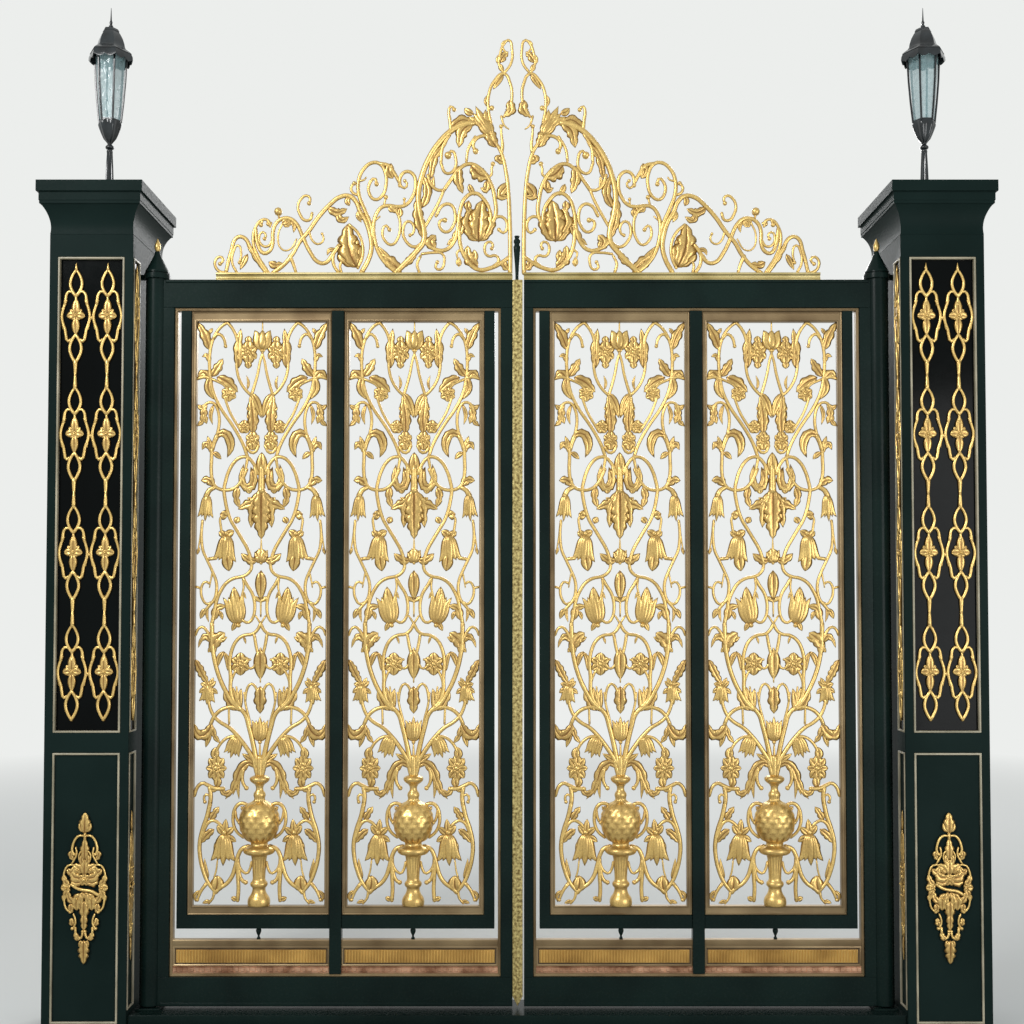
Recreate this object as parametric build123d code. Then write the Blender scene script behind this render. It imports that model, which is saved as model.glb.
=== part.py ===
from build123d import *
import os
from math import sqrt

os.makedirs("parts", exist_ok=True)

# A pair of wrought iron driveway gates between two square pillars, in millimetres.
# X runs across the gateway, Y away from the road, Z up. The origin is the middle of the
# sill's flat underside. Each leaf turns about the vertical axis of its round heel post.

# Widths across one leaf, in order from the middle of the gateway outwards.
astragal_width = 37
meeting_gap = 10
meeting_stile_width = 47.5
surround_width = 12
side_gap = 14
carrier_side_width = 42
panel_frame_width = 22
panel_opening_width = 538
mullion_width = 49
outer_stile_width = 35

# Heights of one leaf, in order from its foot upwards.
bottom_rail_height = 115
kick_plate_height = 136
foot_gap = 45
carrier_foot_height = 54
panel_frame_foot = 37
panel_opening_height = 2400
panel_frame_head = 44
top_rail_height = 115

# Depths of the leaf's pieces, front to back.
frame_depth = 60
mullion_depth = 48
surround_depth = 40
carrier_depth = 36
panel_frame_depth = 30
grille_depth = 14
kick_plate_depth = 26
kick_rib_depth = 3
kick_foot_rib = 30
kick_head_rib = 22
spindle_top_diameter = 22
spindle_foot_diameter = 10
spindle_sides = 8
rail_lip_height = 12
rail_lip_depth = 5

# Sill and running gaps.
lower_step_height = 58
lower_step_depth = 320
upper_step_height = 38
upper_step_depth = 210
leaf_ground_gap = 14

# Heel post, its pivot, collar and cap.
post_diameter = 90
pivot_diameter = 40
pivot_clearance = 0.3
socket_width = 100
socket_height = 8
seat_gap = 0.3
collar_height = 20
collar_wall = 9
collar_gap = 6
collar_arm_width = 18
post_top_gap = 6
cap_height = 92
cap_rim_reach = 4
cap_rim_height = 10
cap_top_diameter = 20
cap_sides = 16
bud_height = 56
bud_diameter = 26
bud_sides = 8

# Pillars. Their shafts end a little over the heel posts' tops.
pillar_post_gap = 20
pillar_width = 340
pillar_depth = 440
pillar_front_step = 120
pillar_over_post = 132
recess_width = 270
lower_recess_foot = 68
lower_recess_height = 1075
recess_band = 81
recess_head_margin = 93
upper_recess_depth = 16
lower_recess_depth = 6
reveal_recess_width = 88
reveal_recess_depth = 6
reveal_recess_margin = 10
reveal_sill_gap = 22
trim_width = 8
trim_proud = 3

# Chains in the upper recesses: groups of a cartouche between two pointed links.
chain_groups = 4
chain_spacing = 129
chain_depth = 10
chain_rod = 14
cartouche_width = 120
cartouche_height = 216
cartouche_bar = 13
rosette_width = 66
link_width = 60
link_height = 120
link_overlap = 13
reveal_chain_width = 68

# Cast plaques in the lower recesses.
plaque_height = 594
plaque_width = 188
plaque_depth = 22
reveal_plaque_width = 68
reveal_plaque_depth = 14

# Capital: heights of the cove, fascia and slab, and how far each stands out. The cove's hollow
# is the share of its reach and of its height through which its arc passes.
cove_height = 118
cove_reach = 30
cove_hollow_reach = 0.3
cove_hollow_height = 0.7
bead_height = 12
bead_reach = 34
fascia_height = 36
fascia_reach = 36
slab_height = 45
slab_reach = 45

# Lantern.
lantern_base_diameter = 46
lantern_stem_diameter = 21
lantern_knop_diameter = 34
lantern_stem_height = 213
lantern_cup_height = 113
lantern_glass_height = 298
lantern_foot_width = 80
lantern_head_width = 118
lantern_rib = 7
lantern_skirt_width = 164
lantern_roof_width = 60
lantern_roof_height = 116
lantern_spike_height = 84
lantern_spike_diameter = 14
lantern_foot_height = 8
lantern_flutes = 8
lantern_skirt_drop = 14

# Crest.
crest_rail_height = 36
crest_rail_depth = 30
crest_rail_length = 1230
crest_depth = 12

# Size of the opening for which a panel's scrollwork is drawn.
drawn_half_width = 269
drawn_height = 2400

# Centre bolt and its collar, between the two halves of the crest.
bolt_height = 190
bolt_width = 30
bolt_depth = 20
bolt_collar_height = 14
bolt_collar_reach = 6
astragal_depth = 66
astragal_tip = 40

# Places worked out from the widths.
astragal_edge = astragal_width / 2
stile_edge = astragal_edge + meeting_stile_width
surround_edge = stile_edge + surround_width
inner_carrier_start = surround_edge + side_gap
inner_frame_start = inner_carrier_start + carrier_side_width
inner_opening_start = inner_frame_start + panel_frame_width
inner_opening_end = inner_opening_start + panel_opening_width
mullion_start = inner_opening_end + panel_frame_width
mullion_end = mullion_start + mullion_width
outer_opening_start = mullion_end + panel_frame_width
outer_opening_end = outer_opening_start + panel_opening_width
outer_frame_end = outer_opening_end + panel_frame_width
outer_carrier_end = outer_frame_end + carrier_side_width
outer_surround_start = outer_carrier_end + side_gap
outer_stile_start = outer_surround_start + surround_width
post_face = outer_stile_start + outer_stile_width
post_radius = post_diameter / 2
post_centre = post_face + post_radius
pillar_inner = post_centre + post_radius + pillar_post_gap
pillar_outer = pillar_inner + pillar_width
pillar_middle = (pillar_inner + pillar_outer) / 2
pillar_front = -pillar_front_step
pillar_back = pillar_front + pillar_depth
pillar_centre_y = (pillar_front + pillar_back) / 2
reveal_middle = pillar_front + reveal_recess_margin + reveal_recess_width / 2
inner_panel_middle = (inner_opening_start + inner_opening_end) / 2
outer_panel_middle = (outer_opening_start + outer_opening_end) / 2

# Places worked out from the heights.
sill_top = lower_step_height + upper_step_height
leaf_foot = sill_top + leaf_ground_gap
opening_foot = leaf_foot + bottom_rail_height
kick_foot = opening_foot + surround_width
kick_top = kick_foot + kick_plate_height
carrier_foot = kick_top + foot_gap
panel_frame_start = carrier_foot + carrier_foot_height
panel_foot = panel_frame_start + panel_frame_foot
panel_top = panel_foot + panel_opening_height
panel_frame_end = panel_top + panel_frame_head
opening_top = panel_frame_end + surround_width
leaf_top = opening_top + top_rail_height
collar_foot = leaf_top + collar_gap
post_top = collar_foot + collar_height + post_top_gap
pillar_height = post_top + pillar_over_post
upper_recess_foot = lower_recess_foot + lower_recess_height + recess_band
upper_recess_height = pillar_height - recess_head_margin - upper_recess_foot
chain_pitch = upper_recess_height / chain_groups
plaque_centre = lower_recess_foot + lower_recess_height / 2
capital_top = pillar_height + cove_height + bead_height + fascia_height + slab_height
cup_foot = capital_top + lantern_stem_height
glass_foot = cup_foot + lantern_cup_height
glass_top = glass_foot + lantern_glass_height
roof_top = glass_top + lantern_roof_height


def block(x0, x1, y0, y1, z0, z1):
    """A box between three pairs of planes."""
    middle = ((x0 + x1) / 2, (y0 + y1) / 2, (z0 + z1) / 2)
    return Pos(*middle) * Box(x1 - x0, y1 - y0, z1 - z0)


def slab(x0, x1, depth, z0, z1):
    """A box centred on the plane of the leaf."""
    return block(x0, x1, -depth / 2, depth / 2, z0, z1)


def turned(profile):
    """Revolves (radius, height) points, joined by straight lines, about the Z axis."""
    outline = [(0, profile[0][1])] + profile + [(0, profile[-1][1])]
    face = make_face(Plane.XZ * Polyline(*outline, close=True))
    return revolve(face, Axis.Z)


def tapered(sides, foot_radius, head_radius, foot, height):
    """A many-sided solid about the Z axis, by the radii of its corners at foot and head."""
    low = [Vector(foot_radius, 0, foot).rotate(Axis.Z, 360 * turn / sides) for turn in range(sides)]
    high = [Vector(head_radius, 0, foot + height).rotate(Axis.Z, 360 * turn / sides) for turn in range(sides)]
    faces = [make_face(Polyline(*corners, close=True)) for corners in (low, high)]
    for turn in range(sides):
        corners = (low[turn - 1], low[turn], high[turn], high[turn - 1])
        faces.append(make_face(Polyline(*corners, close=True)))
    return Part() + Solid(Shell([face.face() for face in faces]))


def flat_sided(profile, sides):
    """A turned shape drawn with flat sides, from (radius, height) points upwards."""
    bands = [
        tapered(sides, radius, head_radius, foot, head - foot)
        for (radius, foot), (head_radius, head) in zip(profile, profile[1:])
    ]
    return Part() + bands


def upright(face, depth):
    """Stands a flat face drawn in X and Z up in the plane of the leaf, half its depth each side."""
    return extrude(Plane.XZ * face, depth / 2, both=True)


def outline(*points):
    """A flat face with straight sides between points."""
    return make_face(Polyline(*points, close=True))


def vine(points, start, end):
    """A bar that bends at each point and tapers from start to end, drawn flat."""
    spots = [Vector(*point) for point in points]
    last = len(spots) - 1
    near = []
    far = []
    for index, spot in enumerate(spots):
        along = spots[min(index + 1, last)] - spots[max(index - 1, 0)]
        half = (start + (end - start) * index / last) / 2
        across = Vector(-along.Y, along.X).normalized() * half
        near.append(spot + across)
        far.append(spot - across)
    return outline(*near, *reversed(far))


# Flowers seen from the side: shares of their length with the half width there.
closed_bud = [(0, 0.12), (0.5, 0.5), (1, 0.06)]
open_bell = [(0, 0.12), (0.55, 0.3), (1, 0.5), (0.8, 0)]


def flower(stalk, tip, width, profile):
    """A flower drawn flat from its stalk to its tip."""
    stalk = Vector(*stalk)
    along = Vector(*tip) - stalk
    across = Vector(-along.Y, along.X).normalized() * width
    near = [stalk + along * share + across * half for share, half in profile]
    far = [stalk + along * share - across * half for share, half in reversed(profile) if half]
    return outline(*near, *far)


def both_halves(faces):
    """The faces with their mirror images about the middle line, fused flat."""
    half = Sketch() + faces
    return half + mirror(half, Plane.YZ)


# The scrollwork of one panel: half of its bars, as X from its middle and Z from its foot.
panel_vines = [
    # From the vase's dish down to the corner leaf, and up the outer edge.
    ([(44, 238), (82, 214), (106, 130), (178, 50)], 13, 12),
    ([(172, 48), (243, 200), (206, 494)], 12, 13),
    ([(150, 474), (240, 498), (270, 440)], 12, 10),
    ([(46, 402), (90, 410), (107, 350), (60, 274)], 11, 10),
    # The bouquet, with the heart over it.
    ([(10, 526), (60, 776), (110, 832), (124, 950), (110, 1062), (0, 1150)], 15, 11),
    ([(16, 526), (58, 644), (196, 780), (214, 838)], 14, 11),
    # Up the side and over the lilies to the knot.
    ([(84, 800), (150, 884), (192, 1010), (200, 1140)], 13, 12),
    ([(200, 1140), (182, 1246), (132, 1326), (60, 1350), (38, 1404)], 12, 12),
    ([(74, 1342), (30, 1260), (32, 1176), (96, 1154)], 12, 11),
    ([(243, 1600), (246, 1500), (174, 1284), (232, 1204)], 10, 12),
    # From the knot to the loops at three quarters of the height.
    ([(36, 1398), (132, 1592), (156, 1704), (128, 1796), (70, 1842), (6, 1760)], 14, 12),
    ([(60, 1792), (92, 1726), (150, 1700), (200, 1730), (208, 1872)], 12, 12),
    # Crossing bars that end in the roses under the head.
    ([(56, 1836), (196, 2090), (219, 2220), (198, 2346), (146, 2398), (104, 2320), (118, 2254)], 13, 11),
    ([(60, 1842), (36, 1920), (46, 2096), (98, 2180), (92, 2276), (46, 2276)], 14, 11),
    ([(46, 2096), (0, 2290)], 11, 10),
    ([(212, 2166), (270, 2166)], 12, 12),
]
panel_flowers = [
    ((166, 476), (177, 640), 66, closed_bud),
    ((146, 312), (144, 164), 92, open_bell),
    ((96, 1150), (112, 1266), 80, open_bell),
    ((112, 1552), (142, 1394), 92, open_bell),
    ((202, 1724), (236, 1574), 76, open_bell),
]
# Half outlines of what stands on the middle line: the great acanthus, the knot and the head bud.
panel_middle = [
    [(0, 1866), (14, 1800), (14, 1712), (98, 1622), (48, 1640), (42, 1546), (24, 1590), (0, 1498)],
    [(0, 1462), (26, 1456), (44, 1396), (0, 1310)],
    [(0, 2400), (26, 2362), (0, 2270)],
]
vase_profile = [
    (42, 0), (36, 44), (18, 80), (22, 180), (58, 230), (50, 262), (77, 356), (24, 442), (14, 500), (38, 526),
]
vase_sides = 8


def stretched(points):
    """Points of a panel's drawing, fitted to the real opening."""
    across = panel_opening_width / 2 / drawn_half_width
    upwards = panel_opening_height / drawn_height
    return [(x * across, z * upwards) for x, z in points]


def scroll_panel():
    """One scrollwork panel with its turned vase, standing on X and Z zero."""
    faces = [vine(stretched(points), start, end) for points, start, end in panel_vines]
    for stalk, tip, width, profile in panel_flowers:
        faces.append(flower(*stretched([stalk, tip]), width, profile))
    for half in panel_middle:
        faces.append(outline(*stretched(half)))
    opening = Pos(0, panel_opening_height / 2) * Rectangle(panel_opening_width, panel_opening_height)
    flat = both_halves(faces) & opening
    return upright(flat, grille_depth) + flat_sided(stretched(vase_profile), vase_sides)


# The cresting of one leaf: X from the middle of the gateway, Z from the crest rail's foot.
crest_vines = [
    ([(1210, 30), (1150, 190), (1038, 30)], 11, 12),
    ([(1034, 30), (1098, 160), (1078, 244), (1030, 244)], 12, 9),
    ([(1088, 216), (1055, 116), (1018, 150), (1004, 236), (940, 258), (812, 72), (740, 148)], 11, 12),
    ([(740, 148), (762, 72), (738, 30)], 11, 10),
    ([(1016, 30), (782, 312), (706, 352), (640, 276), (604, 150), (650, 30)], 12, 14),
    ([(700, 234), (646, 170), (660, 50)], 20, 34),
    ([(598, 177), (659, 359), (646, 456), (590, 488)], 12, 11),
    ([(590, 488), (546, 430), (560, 352), (606, 340), (612, 400)], 11, 10),
    ([(580, 484), (528, 470), (487, 396)], 12, 10),
    ([(487, 396), (470, 446), (424, 400), (464, 313), (560, 306), (596, 220), (573, 114), (500, 30)], 10, 13),
    ([(530, 308), (488, 240), (504, 158), (556, 176), (538, 224)], 10, 9),
    ([(500, 30), (392, 160), (411, 340), (384, 470), (306, 592), (180, 652)], 18, 20),
    ([(388, 165), (450, 150), (474, 212), (432, 232)], 11, 9),
    ([(388, 210), (305, 374), (210, 482), (130, 440), (88, 330), (104, 236)], 11, 12),
    ([(305, 380), (350, 380), (374, 450)], 10, 11),
    ([(316, 486), (268, 456), (262, 524), (308, 556), (280, 606)], 10, 10),
    ([(358, 269), (284, 314), (260, 240), (306, 204), (316, 250)], 10, 9),
    ([(392, 160), (310, 126), (256, 190), (216, 345), (160, 356), (108, 241)], 12, 12),
    ([(240, 214), (228, 110), (150, 46), (32, 98)], 13, 12),
    ([(32, 30), (38, 380), (66, 530), (130, 600), (184, 560)], 14, 12),
    ([(180, 590), (206, 466)], 9, 9),
    ([(66, 520), (62, 600), (120, 710), (108, 800), (55, 860)], 11, 12),
    ([(84, 664), (32, 712), (26, 800), (76, 900), (34, 990)], 12, 11),
    ([(60, 850), (24, 920), (36, 992)], 11, 11),
]
crest_flowers = [
    ((96, 560), (186, 716), 76, closed_bud),
    ((166, 152), (152, 330), 100, closed_bud),
]


def crest_scrolls():
    """The flat scrolls of one leaf's cresting, standing on its rail."""
    faces = [vine(points, start, end) for points, start, end in crest_vines]
    faces += [flower(*leaf) for leaf in crest_flowers]
    flat = Sketch() + faces
    standing = Pos(0, 0, leaf_top) * upright(flat, crest_depth)
    return standing - slab(0, post_face, crest_rail_depth, leaf_top, leaf_top + crest_rail_height)


def sill():
    """The two-step threshold between the pillars."""
    lower = slab(-pillar_inner, pillar_inner, lower_step_depth, 0, lower_step_height)
    upper = slab(-pillar_inner, pillar_inner, upper_step_depth, lower_step_height, sill_top)
    return lower + upper


def front_recesses():
    """Foot, head and depth of the two recesses in a pillar's front."""
    upper = (upper_recess_foot, upper_recess_foot + upper_recess_height, upper_recess_depth)
    lower = (lower_recess_foot, lower_recess_foot + lower_recess_height, lower_recess_depth)
    return [upper, lower]


def reveal_recesses():
    """Foot and head of the two recesses in a pillar's inner side: the lower one stays above the sill."""
    upper = (upper_recess_foot, upper_recess_foot + upper_recess_height)
    lower = (sill_top + reveal_sill_gap, lower_recess_foot + lower_recess_height)
    return [upper, lower]


def pillar():
    """The right pillar's shaft, with its recesses."""
    shaft = block(pillar_inner, pillar_outer, pillar_front, pillar_back, 0, pillar_height)
    half = recess_width / 2
    for foot, head, depth in front_recesses():
        floor = pillar_front + depth
        shaft -= block(pillar_middle - half, pillar_middle + half, pillar_front, floor, foot, head)
    half = reveal_recess_width / 2
    side = pillar_inner + reveal_recess_depth
    for foot, head in reveal_recesses():
        shaft -= block(pillar_inner, side, reveal_middle - half, reveal_middle + half, foot, head)
    return shaft


def bead(width, height):
    """A thin rectangular ring, trim_width wide, drawn flat."""
    return Rectangle(width, height) - Rectangle(width - 2 * trim_width, height - 2 * trim_width)


def panel_trims():
    """Thin beads just inside the recesses of the right pillar."""
    beads = []
    for foot, head, depth in front_recesses():
        ring_solid = extrude(Plane.XZ * bead(recess_width, head - foot), depth + trim_proud)
        beads.append(Pos(pillar_middle, pillar_front + depth, (foot + head) / 2) * ring_solid)
    depth = reveal_recess_depth + trim_proud
    for foot, head in reveal_recesses():
        ring_solid = extrude(Plane.YZ * bead(reveal_recess_width, head - foot), -depth)
        beads.append(Pos(pillar_inner + reveal_recess_depth, reveal_middle, (foot + head) / 2) * ring_solid)
    return beads


def capital():
    """The right pillar's capital: cove, bead, fascia and slab, mitred round the shaft."""

    def moulding(half):
        z = pillar_height
        edge = Polyline((0, z), (half, z))
        hollow = (half + cove_reach * cove_hollow_reach, z + cove_height * cove_hollow_height)
        cove = ThreePointArc((half, z), hollow, (half + cove_reach, z + cove_height))
        z += cove_height
        steps = [(half + cove_reach, z)]
        bands = [(bead_height, bead_reach), (fascia_height, fascia_reach), (slab_height, slab_reach)]
        for height, reach in bands:
            steps.append((half + reach, z))
            z += height
            steps.append((half + reach, z))
        steps.append((0, z))
        top = Polyline(*steps)
        close = Line((0, z), (0, pillar_height))
        right = make_face([edge, cove, top, close])
        return right + mirror(right, Plane.YZ)

    across = extrude(Plane.XZ * moulding(pillar_width / 2), pillar_depth, both=True)
    along = extrude(Plane.YZ * moulding(pillar_depth / 2), pillar_width, both=True)
    return Pos(pillar_middle, pillar_centre_y, 0) * (across & along)


def diamond(width, height):
    """A diamond standing on its point."""
    return outline((0, -height / 2), (width / 2, 0), (0, height / 2), (-width / 2, 0))


def blunted(width, height, flat):
    """A pointed oval drawn with six sides, two of them upright and as long as flat."""
    side = width / 2
    head = height / 2
    bend = flat / 2
    return outline((0, -head), (side, -bend), (side, bend), (0, head), (-side, bend), (-side, -bend))


def cartouche():
    """One cartouche of a chain, with the rosette in its middle."""
    edge = blunted(cartouche_width, cartouche_height, cartouche_height / 3)
    hole = diamond(cartouche_width - 2 * cartouche_bar, cartouche_height - 2 * cartouche_bar)
    return edge - hole + diamond(rosette_width, cartouche_height)


def chain():
    """One flat chain of links and cartouches, drawn about its middle."""
    rod = Rectangle(chain_rod, chain_pitch - cartouche_height - 2 * link_height + 4 * link_overlap)
    flat = Sketch()
    link = diamond(link_width, link_height)
    for group in range(chain_groups):
        z = (group - (chain_groups - 1) / 2) * chain_pitch
        flat += Pos(0, z) * cartouche()
        for side in (-1, 1):
            flat += Pos(0, z + side * ((cartouche_height + link_height) / 2 - link_overlap)) * link
        if group:
            flat += Pos(0, z - chain_pitch / 2) * rod
    return flat


def side_chain():
    """The narrow chain of the inner side, whose links close up when seen along the wall."""
    flat = Rectangle(chain_rod, upper_recess_height - chain_pitch)
    for group in range(chain_groups):
        z = (group - (chain_groups - 1) / 2) * chain_pitch
        flat += Pos(0, z) * diamond(reveal_chain_width, cartouche_height + link_height)
    return flat


def chain_grilles():
    """Two chains in the right pillar's upper front recess, and one on its inner side."""
    single = extrude(Plane.XZ * chain(), chain_depth)
    z = upper_recess_foot + upper_recess_height / 2
    left = Pos(pillar_middle - chain_spacing / 2, pillar_front + upper_recess_depth, z) * single
    right = Pos(pillar_middle + chain_spacing / 2, pillar_front + upper_recess_depth, z) * single
    side = extrude(Plane.YZ * side_chain(), -chain_depth)
    return [left, right, Pos(pillar_inner + reveal_recess_depth, reveal_middle, z) * side]


# Half outline of a plaque, as shares of its half width and half height, from its head down.
plaque_shape = [
    (0, 1), (0.23, 0.84), (0.1, 0.72), (0.52, 0.6), (0.42, 0.42), (0.86, 0.24), (1, 0),
    (0.86, -0.24), (0.42, -0.42), (0.5, -0.55), (0.1, -0.7), (0.23, -0.84), (0, -1),
]


def plaque(width):
    """A plaque's outline, drawn about its middle."""
    half = [(x * width / 2, z * plaque_height / 2) for x, z in plaque_shape]
    return both_halves([outline(*half)])


def plaques():
    """Cast ornaments in the lower recesses of the right pillar."""
    front = extrude(Plane.XZ * plaque(plaque_width), plaque_depth)
    side = extrude(Plane.YZ * plaque(reveal_plaque_width), -reveal_plaque_depth)
    return [
        Pos(pillar_middle, pillar_front + lower_recess_depth, plaque_centre) * front,
        Pos(pillar_inner + reveal_recess_depth, reveal_middle, plaque_centre) * side,
    ]


def hexagonal(foot_width, head_width, foot, height):
    """A tapering six-sided solid about the Z axis, by its widths over flats."""
    return tapered(6, foot_width / sqrt(3), head_width / sqrt(3), foot, height)


def glass_shape():
    """The tapering room inside a lantern's cage, about the Z axis."""
    inset = 2 * lantern_rib
    return hexagonal(lantern_foot_width - inset, lantern_head_width - inset, glass_foot, lantern_glass_height)


def lantern_glass():
    """The right lantern's tapering glass."""
    return Pos(pillar_middle, pillar_centre_y, 0) * glass_shape()


def lantern_cage():
    """The lantern's six ribs between two rings, about the Z axis."""
    cage = hexagonal(lantern_foot_width, lantern_head_width, glass_foot, lantern_glass_height)
    half = lantern_foot_width / 2 / sqrt(3) - lantern_rib
    window = block(0, lantern_head_width, -half, half, glass_foot + lantern_rib, glass_top - lantern_rib)
    for turn in range(6):
        cage -= Rot(0, 0, 60 * turn + 30) * window
    return cage - glass_shape()


def lantern_hood():
    """The lantern's roof with the skirt that hangs round the cage's head, about the Z axis."""
    foot = glass_top - lantern_skirt_drop
    skirt = hexagonal(lantern_skirt_width, lantern_skirt_width, foot, lantern_skirt_drop)
    skirt -= hexagonal(lantern_head_width, lantern_head_width, foot, lantern_skirt_drop)
    return skirt + hexagonal(lantern_skirt_width, lantern_roof_width, glass_top, lantern_roof_height)


def lantern_frame():
    """The right lantern's fluted stem, cup, ribs, hooded roof and spike."""
    base = lantern_base_diameter / 2
    stem = lantern_stem_diameter / 2
    knop = lantern_knop_diameter / 2
    tip = lantern_spike_diameter / 2
    stem_profile = [
        (base, capital_top), (base, capital_top + lantern_foot_height), (stem, cup_foot - 2 * knop),
        (knop, cup_foot), (stem, cup_foot + knop),
    ]
    metal = flat_sided(stem_profile, lantern_flutes)
    metal += hexagonal(lantern_stem_diameter, lantern_foot_width, cup_foot, lantern_cup_height)
    metal += lantern_cage() + lantern_hood()
    metal += flat_sided([(tip, roof_top), (tip / 2, roof_top + tip), (1, roof_top + lantern_spike_height)], 6)
    return Pos(pillar_middle, pillar_centre_y, 0) * metal


def hinge_fittings():
    """The right pillar's collar round the heel post's neck, and the floor socket of its pivot."""
    bore = post_radius + pivot_clearance
    collar = Cylinder(bore + collar_wall, collar_height) - Cylinder(bore, collar_height)
    collar = Pos(post_centre, 0, collar_foot + collar_height / 2) * collar
    half = collar_arm_width / 2
    start = post_centre + bore + collar_wall / 2
    arm = block(start, pillar_inner, -half, half, collar_foot, collar_foot + collar_height)
    socket = Box(socket_width, socket_width, socket_height)
    socket -= Cylinder(pivot_diameter / 2 + pivot_clearance, socket_height)
    return [collar + arm, Pos(post_centre, 0, sill_top + socket_height / 2) * socket]


def heel_post():
    """The right leaf's round post, with pivot pin, cone cap and bud."""
    pivot = pivot_diameter / 2
    cap = cap_top_diameter / 2
    bud = bud_diameter / 2
    z = post_top + cap_height
    rim = post_radius + cap_rim_reach
    post = turned([
        (pivot, sill_top + seat_gap), (pivot, leaf_foot), (post_radius, leaf_foot), (post_radius, post_top),
    ])
    post += flat_sided([(rim, post_top), (rim, post_top + cap_rim_height), (cap, z)], cap_sides)
    post += flat_sided([(cap, z), (bud, z + bud_height / 3), (1, z + bud_height)], bud_sides)
    return Pos(post_centre, 0, 0) * post


def stiles(start):
    """The right leaf's two stiles: the meeting one from start, the outer one coved to the heel post."""
    meeting = slab(start, stile_edge, frame_depth, opening_foot, opening_top)
    outer = slab(outer_stile_start, post_centre, frame_depth, opening_foot, opening_top)
    return [meeting, outer - post_hollow()]


def post_hollow():
    """The room that the frame leaves for the right heel post."""
    height = leaf_top - leaf_foot
    return Pos(post_centre, 0, leaf_foot + height / 2) * Cylinder(post_radius + seat_gap, height)


def rails(start):
    """The right leaf's top and bottom rails, each with a narrow lip along its outer edge."""
    pieces = []
    for foot, height, lip in (
        (leaf_foot, bottom_rail_height, leaf_foot),
        (opening_top, top_rail_height, leaf_top - rail_lip_height),
    ):
        rail = slab(start, post_centre, frame_depth, foot, foot + height)
        rail += slab(start, post_face, frame_depth + 2 * rail_lip_depth, lip, lip + rail_lip_height)
        pieces.append(rail - post_hollow())
    return pieces


def mullion():
    """The right leaf's upright between its two panels."""
    return slab(mullion_start, mullion_end, mullion_depth, kick_foot, panel_frame_end)


def ring(x0, x1, z0, z1, side, foot, head, depth):
    """A rectangular frame, with the widths of its sides, foot and head."""
    return slab(x0, x1, depth, z0, z1) - slab(x0 + side, x1 - side, depth, z0 + foot, z1 - head)


def brass_surround():
    """The right leaf's trim round its opening."""
    width = surround_width
    return ring(stile_edge, outer_stile_start, opening_foot, opening_top, width, width, width, surround_depth)


def kick_plates():
    """The right leaf's two kick plates, either side of the mullion."""
    plates = []
    for x0, x1 in ((surround_edge, mullion_start), (mullion_end, outer_surround_start)):
        plate = slab(x0, x1, kick_plate_depth, kick_foot, kick_top)
        for foot, height in ((kick_foot, kick_foot_rib), (kick_top - kick_head_rib, kick_head_rib)):
            plate += slab(x0, x1, kick_plate_depth + 2 * kick_rib_depth, foot, foot + height)
        plates.append(plate)
    return plates


def spindles():
    """The right leaf's small eight-sided spindles under its panels, tapering to their feet."""
    foot = spindle_foot_diameter / 2
    head = spindle_top_diameter / 2
    spindle = flat_sided([(foot, kick_top), (foot, kick_top + foot), (head, carrier_foot)], spindle_sides)
    return [Pos(middle, 0, 0) * spindle for middle in (inner_panel_middle, outer_panel_middle)]


def panel_carriers():
    """The right leaf's two L-shaped bars that carry its panels."""
    inner = slab(inner_carrier_start, inner_frame_start, carrier_depth, carrier_foot, panel_frame_end)
    inner += slab(inner_carrier_start, mullion_start, carrier_depth, carrier_foot, panel_frame_start)
    outer = slab(outer_frame_end, outer_carrier_end, carrier_depth, carrier_foot, panel_frame_end)
    outer += slab(mullion_end, outer_carrier_end, carrier_depth, carrier_foot, panel_frame_start)
    return [inner, outer]


def panel_frames():
    """The right leaf's two brass panel frames."""
    sizes = (panel_frame_start, panel_frame_end, panel_frame_width, panel_frame_foot, panel_frame_head)
    inner = ring(inner_frame_start, mullion_start, *sizes, panel_frame_depth)
    outer = ring(mullion_end, outer_frame_end, *sizes, panel_frame_depth)
    return [inner, outer]


def crest_rail(start):
    """The right leaf's gilt rail under the cresting."""
    return slab(start, start + crest_rail_length, crest_rail_depth, leaf_top, leaf_top + crest_rail_height)


def astragal():
    """The gilt strip down the meeting edge of the left leaf, with a pointed foot."""
    half = astragal_width / 2
    bend = leaf_foot + astragal_tip
    strip = outline((-half, leaf_top), (-half, bend), (0, leaf_foot), (half, bend), (half, leaf_top))
    return upright(strip, astragal_depth)


def centre_bolt():
    """The dark upright between the two halves of the crest, with a collar near its head."""
    bolt = slab(-bolt_width / 2, bolt_width / 2, bolt_depth, leaf_top, leaf_top + bolt_height)
    z = leaf_top + bolt_height - 2 * bolt_collar_height
    collar_depth = bolt_depth + 2 * bolt_collar_reach
    bolt += slab(-bolt_width / 2, bolt_width / 2, collar_depth, z, z + bolt_collar_height)
    return bolt


def write(name, shape):
    """Writes one node, a solid or a list of solids that don't touch."""
    if isinstance(shape, list):
        shape = Compound(children=shape)
    export_step(shape, f"parts/{name}.step")


def mirrored(shape):
    """The left-hand copy of a piece or a list of pieces."""
    if isinstance(shape, list):
        return [mirror(piece, Plane.YZ) for piece in shape]
    return mirror(shape, Plane.YZ)


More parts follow.
